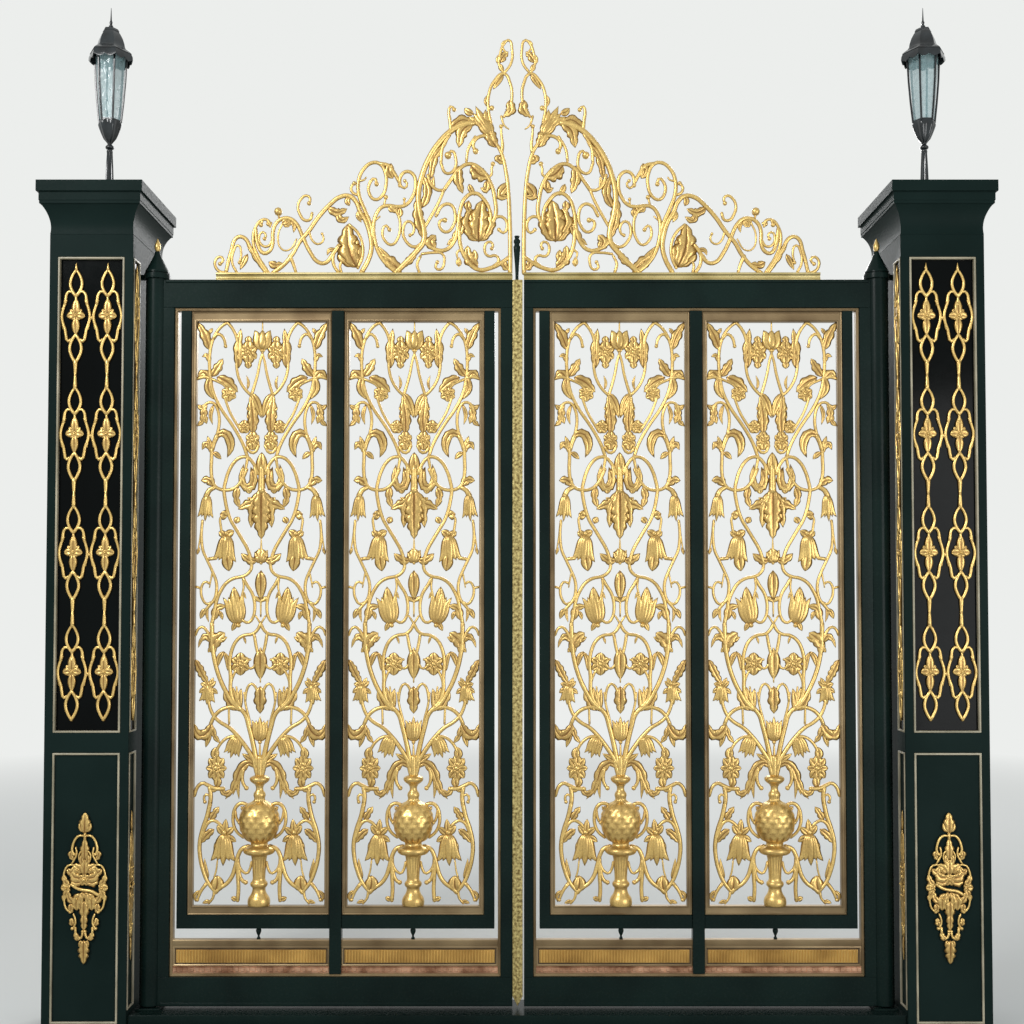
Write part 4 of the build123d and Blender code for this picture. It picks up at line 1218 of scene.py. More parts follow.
CREST_LEAVES = (
    Leaf((1041, 39, 1085, 99, 1127, 157), 22, 3), Leaf((1119, 114, 1135, 81, 1152, 47), 18),
    Leaf((979, 234, 960, 244, 940, 229), 26, 2), Leaf((1043, 246, 1031, 236, 1018, 242), 16),
    Leaf((942, 249, 927, 229, 930, 199), 14), Leaf((1034, 81, 1009, 67, 967, 72), 26, 2),
    Leaf((664, 56, 706, 98, 718, 182), 34, 3), Leaf((789, 301, 748, 281, 706, 298), 30, 3),
    Leaf((748, 283, 731, 249, 698, 266), 24, 2), Leaf((698, 308, 706, 333, 693, 350), 18),
    Leaf((662, 291, 647, 266, 625, 256), 20), Leaf((647, 300, 661, 266, 647, 241), 16),
    Leaf((748, 131, 782, 126, 790, 106), 14), Leaf((524, 485, 533, 451, 516, 421), 34, 3),
    Leaf((496, 308, 516, 291, 538, 306), 22, 2), Leaf((492, 303, 486, 279, 497, 259), 18),
    Leaf((479, 37, 529, 81, 573, 113), 40, 3), Leaf((504, 39, 546, 106, 583, 148), 20),
    Leaf((420, 121, 445, 89, 479, 56), 26, 3), Leaf((385, 173, 411, 266, 408, 375), 36, 5),
    Leaf((395, 300, 373, 359, 393, 443), 30, 3), Leaf((361, 418, 344, 502, 285, 586), 26, 4),
    Leaf((344, 128, 358, 165, 337, 190), 38, 3), Leaf((183, 653, 225, 620, 243, 547), 40, 3),
    Leaf((277, 628, 226, 662, 177, 648), 34, 3), Leaf((88, 548, 104, 580, 128, 640), 40, 3),
    Leaf((179, 687, 201, 694, 220, 712), 22), Leaf((243, 476, 243, 409, 225, 359), 34, 3),
    Leaf((193, 476, 151, 434, 112, 429), 46, 4), Leaf((125, 418, 129, 375, 154, 384), 26, 2),
    Leaf((201, 401, 191, 375, 174, 350), 18), Leaf((176, 190, 201, 241, 189, 300), 50, 3),
    Leaf((140, 182, 119, 232, 129, 286), 46, 3), Leaf((201, 333, 204, 300, 184, 274), 26, 2),
    Leaf((162, 56, 201, 98, 206, 148), 40, 4), Leaf((193, 72, 176, 106, 179, 131), 24),
    Leaf((49, 89, 53, 64, 34, 47), 26, 2), Leaf((31, 409, 68, 350, 29, 345), 34, 2),
    Leaf((243, 182, 230, 224, 236, 274), 24, 3), Leaf((31, 746, 28, 700, 55, 677), 34, 3),
    Leaf((55, 852, 78, 822, 100, 788), 18), Leaf((71, 897, 58, 923, 36, 946), 26, 2),
    Leaf((71, 896, 66, 876, 56, 859), 16), Leaf((119, 712, 129, 746, 115, 771), 14),
    Leaf((65, 519, 78, 502, 46, 485), 26, 2), Leaf((344, 375, 351, 401, 346, 434), 14),
    Leaf((246, 216, 263, 173, 294, 148), 22, 2),
    # The two great acanthus buds.
    Leaf((164, 164, 194, 204, 200, 262), 40, 3), Leaf((156, 164, 126, 208, 114, 258), 40, 3),
    Leaf((160, 160, 158, 240, 146, 334), 70, 4, 1.3), Leaf((672, 62, 722, 104, 738, 160), 42, 3),
    Leaf((668, 62, 668, 122, 676, 186), 42, 3), Leaf((668, 56, 698, 130, 706, 236), 70, 4, 1.3),
)
# Buds and open flowers among the crest's scrolls.
CREST_BLOOMS = (
    Bloom((242, 62), (242, 104), 20, Mouth.CLOSED, 4), Bloom((991, 268), (993, 304), 24, Mouth.CLOSED),
    Bloom((104, 596), (186, 716), 74, Mouth.OPEN, 4, 2),
)
CREST_ROSETTES = (
    Rosette((157, 258), 44, 48), Rosette((959, 236), 34, 34, 5),
)


def corners(node: str) -> tuple[Vector, Vector]:
    """The lowest and highest corners of a node, in millimetres."""
    low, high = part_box(node)
    return low / MM, high / MM


def centre(node: str) -> Spot:
    """The middle of a node's box, in millimetres."""
    return tuple((low + high) / 2 for low, high in zip(*corners(node)))


# Faces that turn by less than this are one, and edges that turn by more than this are rounded.
FLAT = math.radians(1)
EDGE = math.radians(30)


def eased(node: str, width: float) -> Mesh:
    """Makes a copy of a node's mesh with its sharp edges rounded.

    Args:
        node: the node.
        width: how far the rounding reaches from each edge, in millimetres.

    Returns:
        The mesh.
    """
    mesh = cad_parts[node].data.copy()
    mesh.materials.clear()
    shape = bmesh.new()
    shape.from_mesh(mesh)
    bmesh.ops.remove_doubles(shape, verts=shape.verts, dist=WELD * MM)
    bmesh.ops.dissolve_limit(shape, angle_limit=FLAT, verts=shape.verts, edges=shape.edges)
    shape.to_mesh(mesh)
    shape.free()
    host = put(node, mesh)
    bevel = host.modifiers.new("ease", "BEVEL")
    bevel.width = width * MM
    bevel.segments = 2
    bevel.limit_method = "ANGLE"
    bevel.angle_limit = EDGE
    host.modifiers.new("shade", "WEIGHTED_NORMAL")
    mesh.shade_smooth()
    return harvest(host)


@dataclass
class Trade:
    """What each maker of pieces has.

    Attributes:
        shop: the finishes and the geometry trees.
    """

    shop: Shop

    def place(self, name: str, mesh: Mesh, finish: str, body: str, slot: Slot, *nodes: str) -> None:
        """Makes a finished piece and hangs it on its body.

        Args:
            name: the piece's name.
            mesh: its mesh, in place.
            finish: the finish of a mesh that has none yet.
            body: the body that it rides on.
            slot: the record's slot, which is not used.
            nodes: the nodes that it stands for.
        """
        piece = put(name, mesh)
        if not mesh.materials:
            mesh.materials.append(self.shop[finish])
        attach(piece, body)
        if nodes:
            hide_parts(*nodes)
        log.info("%s: %d faces on %s", name, len(mesh.polygons), body)


# One group of a chain about its cartouche's middle: half of it, mirrored across.
CHAIN_STEMS = (
    # Upper and lower pointed links.
    Stem((0, 192, 16, 166, 24, 136, 17, 106, 0, 82), 11, 15),
    Stem((0, -74, 16, -100, 24, -132, 15, -164, 0, -190), 13, 14),
    # The cartouche: a shoulder that ends in a drop, the frame under it and its lower drop.
    Stem((10, 94, 25, 103, 38, 92, 42, 72, 45, 50), 11, 14),
    Stem((40, 64, 50, 36, 57, 4, 53, -26, 43, -54, 39, -80, 30, -102, 20, -96), 12, 14),
    Stem((52, -28, 50, -50), 13, 9),
    # The neck between the upper link and the flower.
    Stem((0, 84, 0, 50), 10, 12),
)
CHAIN_HALF = Scrollwork(
    stems=CHAIN_STEMS,
    leaves=(Leaf((2, 2, 18, 4, 38, 0), 24), Leaf((2, 4, 14, 18, 24, 30), 16)),
)
CHAIN_MIDDLE = Scrollwork(
    leaves=(Leaf((0, 2, 0, 34, 0, 76), 24), Leaf((0, -2, 0, -34, 0, -78), 24)),
    rosettes=(Rosette((0, 2), 46, 54, 6),),
)
# The taper between two groups, and the spear over the topmost link.
CHAIN_ROD = (Stem((0, -184, 0, -240), 20, 12), Stem((0, -240, 0, -294), 12, 19))
CHAIN_SPEAR = Scrollwork(stems=(Stem((0, 188, 0, 219), 15, 3),))
# Middle of the narrow recess in a pillar's inner side, and how deep the lower recesses are.
REVEAL_MIDDLE = -66.0
RECESS_DEPTH = 6.0


@dataclass
class Chains(Trade):
    """Flat gilt chains of pointed links and cartouches in the pillars' upper recesses.

    Attributes:
        groups: how many cartouches one chain has.
        pitch: height from one cartouche to the next.
        spacing: distance between the pair's middles.
        side_share: how wide the side's chain is for the front's.
        lift: distance of the bars' middles from the recess's back.
        tie: radius of the bead that ties two cartouches.
        tie_drop: how far it is under their middles.
    """

    groups: int = 4
    pitch: float = 481.75
    spacing: float = 129.0
    side_share: float = 0.56
    lift: float = 5.5
    tie: float = 9.0
    tie_drop: float = 6.0

    def repeated(self, piece: Casting, count: int) -> Casting:
        """Repeats a part of a chain upwards.

        Args:
            piece: the part.
            count: how many there are.

        Returns:
            All of them, the lowest in the part's own place.
        """
        values = {"Count": count, "Step": (0, 0, self.pitch * MM), "Finish": self.shop["gilt_casting"]}
        row = Casting()
        row.take_mesh(evaluated(piece.mesh("chain_part"), self.shop.rows, values))
        return row

    def chain(self) -> Casting:
        """Makes one whole chain.

        Returns:
            The chain, about its middle.
        """
        low = -(self.groups - 1) / 2 * self.pitch
        group = mirrored(CHAIN_HALF, CHAIN_MIDDLE, self.shop)
        rod = Scrollwork(CHAIN_ROD).cast(self.shop)
        chain = Casting()
        chain.add(self.repeated(group, self.groups), by=(0, 0, low))
        chain.add(self.repeated(rod, self.groups - 1), by=(0, 0, low + self.pitch))
        chain.add(CHAIN_SPEAR.cast(self.shop), by=(0, 0, -low))
        return chain

    def build(self) -> None:
        """Makes both pillars' chains."""
        single = self.chain()
        narrow = Casting()
        narrow.add(single, scale=(self.side_share, 1, 1))
        pair = Casting()
        for sign in SIDES.values():
            pair.add(single, by=(sign * self.spacing / 2, 0, 0))
        for row in range(self.groups):
            bead(pair, (0, (row - (self.groups - 1) / 2) * self.pitch - self.tie_drop), self.tie)
        for side, sign in SIDES.items():
            node = f"chain_grilles_{side}"
            low, high = corners(node)
            middle = centre(node)[2]
            face = (high.x if sign < 0 else low.x) + sign * self.lift
            both = Casting()
            both.add(pair, by=(centre(f"pillar_{side}")[0], low.y + self.lift, middle))
            both.add(narrow.turned(-sign), by=(face, REVEAL_MIDDLE, middle))
            self.place(f"{side}_chains", both.mesh(node), "gilt_casting", "gateway", Slot.GOLD, node)


# Half of the cast ornament low on each pillar, about its middle.
PLAQUE_HALF = Scrollwork(
    stems=(
        Stem((8, 208, 24, 208, 37, 196, 48, 170, 50, 146, 42, 134), 10, 11, 15),
        Stem((36, 160, 32, 136, 40, 116, 52, 96), 8, 8), Stem((44, 92, 66, 90, 78, 72, 83, 46, 80, 24), 8, 9),
        Stem((80, -20, 80, -52, 72, -82, 56, -96), 9, 8, 12),
        Stem((42, -104, 34, -128, 36, -146, 46, -160), 8, 9, 16),
        Stem((34, -158, 32, -186, 22, -202, 10, -196, 5, -172), 11, 10, 14),
        Stem((12, 150, 24, 130, 20, 104), 7, 6),
    ),
    leaves=(
        Leaf((52, 150, 56, 130, 44, 110), 18, 2), Leaf((70, 78, 54, 62, 40, 88), 22, 2),
        Leaf((60, 6, 78, 30, 84, 56), 22, 2), Leaf((62, -4, 78, -30, 84, -54), 20, 2),
        Leaf((66, 4, 80, 2, 95, 2), 24), Leaf((56, -60, 52, -84, 62, -100), 22, 2),
        Leaf((40, -60, 60, -40, 66, -10), 22, 2), Leaf((44, -150, 50, -134, 48, -118), 18, 2),
        Leaf((22, -210, 28, -194, 38, -176), 20, 2), Leaf((8, 60, 30, 84, 46, 92), 30, 3),
        Leaf((10, 40, 38, 44, 54, 66), 34, 3), Leaf((10, 26, 34, 22, 56, 30), 28, 3),
        Leaf((12, -20, 30, -50, 30, -90), 34, 3), Leaf((14, -206, 12, -222, 15, -240), 15),
        Leaf((2, 222, 14, 238, 22, 260), 18),
    ),
    rosettes=(Rosette((72, 0), 34, 52, 6), Rosette((27, 72), 36, 38, 5), Rosette((28, -42), 34, 38, 5)),
)
PLAQUE_MIDDLE = Scrollwork(
    stems=(Stem((-52, 14, -26, -2, 0, -8, 28, -12, 54, -26), 13, 15), Stem((0, 195, 0, 215), 13, 12)),
    leaves=(
        Leaf((0, 216, 0, 250, 0, 302), 34, 3), Leaf((0, 112, 0, 150, 0, 198), 28, 3),
        Leaf((-2, 84, -12, 112, -6, 142), 18, 2), Leaf((2, 84, 12, 112, 6, 142), 18, 2),
        Leaf((0, 50, 0, 76, 0, 116), 30, 2), Leaf((-4, -14, -16, -50, -14, -92), 24, 3),
        Leaf((4, -14, 16, -50, 14, -92), 24, 3), Leaf((0, -50, 0, -90, 0, -134), 30, 3),
        Leaf((0, -104, 0, -134, 0, -170), 24, 2), Leaf((0, -206, 0, -246, 0, -302), 34, 4),
    ),
    rosettes=(Rosette((0, 34), 58, 54, 7),),
)


@dataclass
class Plaques(Trade):
    """Cast ornaments of scrolls and fruit in the pillars' lower recesses.

    Attributes:
        lift: distance of their middle plane from the recess's back.
        side_share: how wide the side's plaque is for the front's.
        side_depth: how deep it is for the front's.
        side_lift: how far its middle plane is from the back for the front's.
    """

    lift: float = 8.0
    side_share: float = 0.36
    side_depth: float = 0.7
    side_lift: float = 0.6

    def build(self) -> None:
        """Makes both pillars' plaques."""
        whole = mirrored(PLAQUE_HALF, PLAQUE_MIDDLE, self.shop)
        narrow = Casting()
        narrow.add(whole, scale=(self.side_share, self.side_depth, 1))
        for side, sign in SIDES.items():
            node = f"plaques_{side}"
            pillar = f"pillar_{side}"
            low, high = corners(pillar)
            middle = centre(node)[2]
            inner = low.x + RECESS_DEPTH if sign > 0 else high.x - RECESS_DEPTH
            inner -= sign * self.lift * self.side_lift
            both = Casting()
            both.add(whole, by=(centre(pillar)[0], low.y + RECESS_DEPTH - self.lift, middle))
            both.add(narrow.turned(-sign), by=(inner, REVEAL_MIDDLE, middle))
            self.place(f"{side}_plaques", both.mesh(node), "gilt_casting", "gateway", Slot.GOLD, node)


# Half of the crest rail's section: how far it stands from the leaf's plane, and its height.
CREST_RAIL_PROFILE = (
    (12, 0), (15, 2), (15, 8), (11, 10), (9, 14), (10, 22), (13, 25), (15, 28), (14, 34), (11, 36),
)


@dataclass
class Crest(Trade):
    """The gilt cresting of each leaf on its moulded rail.

    Attributes:
        weight: how thick the bars are for their drawn diameters.
        flatness: how deep the cresting is for the cast one.
        stretch: how tall it is for the drawn one.
    """

    weight: float = 1.5
    flatness: float = 0.85
    stretch: float = 1.025

    def build(self) -> None:
        """Makes both leaves' crests."""
        drawing = Scrollwork(CREST_STEMS, CREST_LEAVES, CREST_BLOOMS, CREST_ROSETTES, self.weight)
        whole = drawing.cast(self.shop)
        for side, sign in SIDES.items():
            body = f"{side}_leaf"
            rail = f"{side}_crest_rail"
            cresting = f"{side}_cresting"
            low, high = corners(rail)
            own = Casting()
            own.add(whole, scale=(sign, self.flatness, self.stretch), by=(0, 0, low.z))
            mesh = own.mesh(cresting)
            self.place(cresting, mesh, "gilt_casting", body, Slot.GOLD, f"{side}_crest_scrolls")
            moulded = Casting()
            moulded.strip(CREST_RAIL_PROFILE, low.x, high.x, low.z)
            mesh = moulded.mesh(rail, sharp=40)
            self.place(f"{side}_crest_moulding", mesh, "pale_gilt", body, Slot.GOLD, rail)


# Sections of the frames: distance in from the outer edge, and from the leaf's plane.
SURROUND_PROFILE = ((0, 17), (2, 20), (5, 20), (7, 18), (9, 18), (12, 15))
PANEL_FRAME_PROFILE = (
    (0, 10), (1, 13), (4, 15), (7, 13), (8, 10), (12, 9), (15, 10), (16, 13), (19, 14.5), (22, 12),
)
KICK_BORDER = ((0, 10), (0, 14), (4, 15), (8, 13), (9, 10))
KICK_GROOVE = ((8.5, 10), (8.5, 11.9), (13, 11.9), (13, 10))
# Half of a kick plate's section: how far it stands from the leaf's plane, and its height.
KICK_BAND = ((14, 0), (16, 3), (16, 7), (13, 9), (13, 24), (15, 26), (16, 29), (11, 31))
KICK_FIELD = ((10.5, 29), (11.5, 31), (11.5, 105), (10.5, 109))
KICK_LIP = ((11, 106), (14, 108), (16, 112), (16, 132), (13, 136))
# Sections of a reed and a dentil: X, and distance from the leaf's plane.
REED_PROFILE = ((-5, 11), (-3.4, 13.6), (0, 15), (3.4, 13.6), (5, 11))
DENTIL_PROFILE = ((-7, 12), (-6, 16.5), (6, 16.5), (7, 12))


@dataclass(frozen=True)
class Rank:
    """A row of upright reeds or dentils on a kick plate.

    Attributes:
        profile: the section of one.
        foot: height of their feet over the plate's.
        head: height of their heads.
        margin: distance of the first and last from the plate's ends.
        pitch: the wanted distance from one to the next, which is rounded to fit.
    """

    profile: Profile
    foot: float
    head: float
    margin: float
    pitch: float

    def cast(self, casting: Casting, x0: float, x1: float, z: float, rows: Tree) -> None:
        """Adds the row to a plate.

        Args:
            casting: the casting that takes it.
            x0: where the plate starts.
            x1: where it ends.
            z: height of its foot.
            rows: the tree that repeats a piece.
        """
        length = x1 - x0 - 2 * self.margin
        count = round(length / self.pitch) + 1
        one = Casting()
        one.post(self.profile, self.foot, self.head)
        row = Casting()
        values = {"Count": count, "Step": (length / (count - 1) * MM, 0, 0)}
        row.take_mesh(evaluated(one.mesh("repeated"), rows, values))
        casting.add(row, by=(x0 + self.margin, 0, z))


@dataclass
class Brasswork(Trade):
    """Brass round the openings: surrounds, panel frames, kick plates and the meeting strip.

    Attributes:
        half_width: half the width of a panel frame.
        foot: how much wider a panel frame's foot is than its sides.
        head: how much wider its head is.
        field: heights of the foot and head of a kick plate's field.
        reeds: the reeds of that field.
        dentils: the dentils of the band under it.
        strip_lap: how much wider than its node the meeting strip is, towards the right leaf.
        strip_ease: how far the rounding of its edges reaches.
    """

    half_width: float = 291.0
    foot: float = 15.0
    head: float = 22.0
    field: Point = (29.0, 108.0)
    reeds: Rank = Rank(REED_PROFILE, 44, 93, 20, 12)
    dentils: Rank = Rank(DENTIL_PROFILE, 9, 24, 10, 23)
    strip_lap: float = 4.5
    strip_ease: float = 2.0

    def build(self) -> None:
        """Makes all the brass."""
        for side in SIDES:
            self.frames(side)
            self.kick_plates(side)
        self.meeting_strip()

    def frames(self, side: str) -> None:
        """Makes the trim round one leaf's opening and the moulded frames of its two panels.

        Args:
            side: the leaf's side.
        """
        body = f"{side}_leaf"
        node = f"{side}_brass_surround"
        surround = Casting()
        surround.frame(SURROUND_PROFILE, *corners(node))
        mesh = surround.mesh(node, sharp=30)
        self.place(f"{side}_surround_trim", mesh, "aged_brass", body, Slot.BRASS, node)
        node = f"{side}_panel_frames"
        low, high = corners(node)
        mouldings = Casting()
        for panel in PANELS:
            middle = centre(f"{side}_scroll_panel_{panel}")[0]
            ends = Vector((middle - self.half_width, 0, low.z)), Vector((middle + self.half_width, 0, high.z))
            mouldings.frame(PANEL_FRAME_PROFILE, *ends, self.foot, self.head)
        mesh = mouldings.mesh(node, sharp=30)
        self.place(f"{side}_panel_mouldings", mesh, "aged_brass", body, Slot.BRASS, node)

    def kick_plates(self, side: str) -> None:
        """Makes both kick plates of one leaf: reeded fields over a dentil band.

        Args:
            side: the leaf's side.
        """
        node = f"{side}_kick_plates"
        low, high = corners(node)
        mullion_low, mullion_high = corners(f"{side}_mullion")
        field, band, lips, groove = Casting(), Casting(), Casting(), Casting()
        for x0, x1 in ((low.x, mullion_low.x), (mullion_high.x, high.x)):
            field.strip(KICK_FIELD, x0, x1, low.z)
            band.strip(KICK_BAND, x0, x1, low.z)
            lips.strip(KICK_LIP, x0, x1, low.z)
            ends = Vector((x0, 0, low.z + self.field[0])), Vector((x1, 0, low.z + self.field[1]))
            lips.frame(KICK_BORDER, *ends)
            # A thin dark-brown frame inside each border: painted shade of its groove together with patina.
            groove.frame(KICK_GROOVE, *ends)
            self.reeds.cast(field, x0, x1, low.z, self.shop.rows)
            self.dentils.cast(band, x0, x1, low.z, self.shop.rows)
        for name, casting, finish, nodes in (
            ("reeds", field, "kick_brass", (node,)),
            ("dentils", band, "band_bronze", ()),
            ("lips", lips, "aged_brass", ()),
            ("grooves", groove, "groove_shade_patina", ()),
        ):
            mesh = casting.mesh(name, sharp=35)
            self.place(f"{side}_kick_{name}", mesh, finish, f"{side}_leaf", Slot.BRASS, *nodes)

    def meeting_strip(self) -> None:
        """Makes the hammered strip on the left leaf's meeting edge."""
        low, high = corners("astragal")
        strip = eased("astragal", self.strip_ease)
        for vertex in strip.vertices:
            share = (vertex.co.x / MM - low.x) / (high.x - low.x)
            vertex.co.x += share * self.strip_lap * MM
        self.place("meeting_strip", strip, "hammered_brass", "left_leaf", Slot.GOLD, "astragal")


# The lantern's parts as radius and height: the fluted stem, the turned neck and the leafy cup from
# the lantern's foot, the roof from the glass's head and the spike from the roof's peak. Each level
# of the stem also has the depth of its flutes for its radius, and each of the cup how far the tips
# of its leaves rise and fall there.
STEM_LEVELS = (
    (22.5, 0, 0), (22.5, 6, 0), (19, 10, 0.16), (18.5, 60, 0.16), (16, 130, 0.16), (12.5, 200, 0.16),
    (13, 204, 0), (13, 208, 0),
)
NECK_PROFILE = ((9, 206), (10, 212), (17, 218), (18, 225), (12, 232), (9, 237), (11, 243))
CUP_LEVELS = ((9, 238, 0), (14, 246, 0), (25, 260, 0), (34, 282, 0), (41, 306, 5), (46, 322, 5), (44, 330, 5))
ROOF_LEVELS = (
    (60, 0), (78, 1), (70, 10), (56, 22), (52, 30), (50, 44), (44, 66), (34, 88), (30, 94), (31, 98),
    (26, 108), (12, 114), (8, 118),
)
SPIKE_PROFILE = ((9, -2), (10, 5), (5, 12), (7, 20), (3.5, 30), (1, 84))
# The skirt's section: radius, height from the glass's head and how far its scallops hang there.
SKIRT_LEVELS = (
    (58, 2, 0), (76, 0, 0), (81, -12, 0.3), (82, -26, 1), (79, -26, 1), (73, -8, 0.3), (56, -3, 0),
)
# Section of the cage's rings: distance in from their outside, and height.
RING_HEIGHT = 12
RING_SECTION = ((0, 0), (0, RING_HEIGHT), (7, RING_HEIGHT), (7, 0))
# How far inside the cage's height the ends of the ribs and of the glass are.
RIB_INSET = 3
GLASS_INSET = 8
# From the distance of a six-sided shape's flats to that of its corners.
TO_CORNER = 2 / math.sqrt(3)


@dataclass
class Lantern(Trade):
    """A six-sided lantern on a fluted stem, one on each pillar.

    Attributes:
        glass: height of the glass's foot over the capital.
        roof: height of the glass's head.
        peak: height of the hood's top.
        flutes: how many flutes the stem has.
        cup_lobes: how far the cup's six leaves stand out for its radius.
        scallop: how far the hood's scallops hang.
        rib: radius of a rib of the cage.
        bow: how far a rib bows out.
        widths: outside widths of the cage's lower and upper ring.
        radii: radius of the glass's corners at its foot and head.
    """

    glass: float = 326.0
    roof: float = 624.0
    peak: float = 740.0
    flutes: int = 8
    cup_lobes: float = 0.10
    scallop: float = 11.0
    rib: float = 4.5
    bow: float = 3.0
    widths: Point = (80.0, 119.0)
    radii: Point = (44.0, 65.0)

    def build(self) -> None:
        """Makes both lanterns."""
        dark = Casting()
        self.stem(dark)
        self.cage(dark)
        self.hood(dark)
        glass = self.panes()
        for side in SIDES:
            node = f"lantern_frame_{side}"
            low, high = corners(node)
            spot = (*centre(node)[:2], low.z)
            whole = Casting()
            whole.add(dark, by=spot)
            mesh = whole.mesh(node, sharp=38)
            self.place(f"{side}_lantern", mesh, "lantern_enamel", "gateway", Slot.LANTERN, node)
            panes = Casting()
            panes.add(glass, by=spot)
            mesh = panes.mesh(f"{side}_panes", sharp=20)
            self.place(f"{side}_panes", mesh, "lantern_glass", "gateway", Slot.GLASS, f"lantern_glass_{side}")

    def panes(self) -> Casting:
        """Makes the six tapering panes, which fill the cage out to its ribs.

        Returns:
            The panes, from the lantern's foot.
        """
        glass = Casting()
        levels = zip(self.radii, (self.glass + GLASS_INSET, self.roof - GLASS_INSET))
        glass.loft(capped([hoop(radius, around(6), z) for radius, z in levels]), 1.0)
        return glass

    def stem(self, casting: Casting) -> None:
        """Adds the flared fluted foot, the turned neck and the leafy cup.

        Args:
            casting: the casting that takes them.
        """
        turns = around(6 * self.flutes)
        flute = np.abs(np.sin(self.flutes / 2 * turns))
        rows = [hoop(radius * (1 - depth * flute), turns, z) for radius, z, depth in STEM_LEVELS]
        casting.loft(capped(rows), SMOOTH_RELIEF)
        turned(casting, NECK_PROFILE, 20, 2)
        turns = around(48)
        wave = np.cos(6 * turns)
        lobes = 1 + self.cup_lobes * wave
        rows = [hoop(radius * lobes, turns, z - tips * wave) for radius, z, tips in CUP_LEVELS]
        casting.loft(capped(rows), SMOOTH_RELIEF)

    def cage(self, casting: Casting) -> None:
        """Adds six ribs between two six-sided rings.

        Args:
            casting: the casting that takes them.
        """
        for width, level in zip(self.widths, (self.glass, self.roof - RING_HEIGHT)):
            outer = width / 2 * TO_CORNER
            rows = [hoop(outer - inset * TO_CORNER, around(6), level + rise) for inset, rise in RING_SECTION]
            casting.loft(np.array(rows), SMOOTH_RELIEF, ring=True)
        for angle in around(6):
            rows = []
            for share in (0, 0.3, 0.6, 1.0):
                flat = np.interp(share, (0, 1), self.widths) / 2
                radius = (flat + self.bow * math.sin(math.pi * share)) * TO_CORNER
                spot = (radius * math.cos(angle), radius * math.sin(angle), 0)
                z = self.glass + RIB_INSET + (self.roof - self.glass - 2 * RIB_INSET) * share
                rows.append(hoop(self.rib, angle + around(6), z) + spot)
            casting.loft(capped(rows), SMOOTH_RELIEF)

    def hood(self, casting: Casting) -> None:
        """Adds the scalloped skirt, the stepped six-sided roof and the spike.

        Args:
            casting: the casting that takes them.
        """
        turns = around(96)
        spread = 1 / np.cos(turns % (math.pi / 3) - math.pi / 6)
        hang = self.scallop * np.abs(np.sin(6 * turns))
        rows = [hoop(radius * spread, turns, self.roof + z - drop * hang) for radius, z, drop in SKIRT_LEVELS]
        casting.loft(np.array(rows), SMOOTH_RELIEF, ring=True)
        rows = [hoop(radius * TO_CORNER, around(6), self.roof + z) for radius, z in ROOF_LEVELS]
        casting.loft(capped(rows), SMOOTH_RELIEF)
        turned(casting, tuple((radius, self.peak + z) for radius, z in SPIKE_PROFILE), 12)


# Radius and height over the ground of the heel post over its pivot, and of the bud on its cap.
HEEL_PROFILE = (
    (20, 110), (43, 110), (45, 112), (45, 3112), (49, 3113), (49, 3120), (46, 3124), (38, 3140), (24, 3168),
    (13, 3192), (10, 3204),
)
PIVOT_RADIUS = 20
BUD_PROFILE = ((6, 3203), (10, 3210), (13, 3222), (11, 3236), (5, 3250), (1, 3260))
# The same of a spindle over its own foot.
SPINDLE_PROFILE = ((7, 0), (8, 3), (5, 8), (4, 13), (7, 20), (11, 31), (11, 38), (8, 42), (8, 45))


@dataclass
class Turnings(Trade):
    """Heel posts and the small dark spindles under the panels.

    Attributes:
        post_sides: how many flats go round a post.
        bud_sides: how many flats go round a bud or a spindle.
    """

    post_sides: int = 40
    bud_sides: int = 16

    def build(self) -> None:
        """Makes both leaves' turned pieces."""
        for side in SIDES:
            body = f"{side}_leaf"
            node = f"{side}_heel_post"
            spot = (centre(node)[0], 0, 0)
            post, bud = Casting(), Casting()
            turned(post, ((PIVOT_RADIUS, corners(node)[0].z), *HEEL_PROFILE), self.post_sides, by=spot)
            turned(bud, BUD_PROFILE, self.bud_sides, 2, spot)
            self.place(f"{side}_post_tube", post.mesh(node, sharp=40), "gloss_enamel", body, Slot.FRAME, node)
            self.place(f"{side}_post_bud", bud.mesh(f"{side}_bud"), "gilt_casting", body, Slot.GOLD)
            node = f"{side}_spindles"
            pair = Casting()
            for panel in PANELS:
                spot = (centre(f"{side}_scroll_panel_{panel}")[0], 0, corners(node)[0].z)
                turned(pair, SPINDLE_PROFILE, self.bud_sides, 2, spot)
            self.place(f"{side}_spindle_pair", pair.mesh(node), "gloss_enamel", body, Slot.FRAME, node)


@dataclass
class PillarTrims(Trade):
    """Thin half-round beads inside the pillars' recesses.

    Attributes:
        ease: how far their rounding reaches from each edge.
    """

    ease: float = 2.2

    def build(self) -> None:
        """Rounds each bead and paints it."""
        for side in SIDES:
            node = f"panel_trims_{side}"
            mesh = eased(node, self.ease)
            self.place(f"{side}_recess_beads", mesh, "bead_enamel", "gateway", Slot.TRIM, node)


@dataclass
class Panels(Trade):
    """The four scrollwork panels, cast from one drawing.

    Attributes:
        weight: how thick the side bars are for their drawn diameters.
    """

    weight: float = 1.38

    def build(self) -> None:
        """Makes the four panels in their frames."""
        half = Scrollwork(PANEL_STEMS, PANEL_LEAVES, PANEL_BLOOMS, PANEL_ROSETTES, self.weight)
        whole = mirrored(half, PANEL_MIDDLE, self.shop)
        Vase().cast(whole)
        mesh = whole.mesh("scroll_panel")
        for side in SIDES:
            for panel in PANELS:
                node = f"{side}_scroll_panel_{panel}"
                low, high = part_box(node)
                own = mesh.copy()
                own.transform(Matrix.Translation(((low.x + high.x) / 2, 0, low.z)))
                name = f"{side}_{panel}_scrollwork"
                self.place(name, own, "gilt_casting", f"{side}_leaf", Slot.GOLD, node)


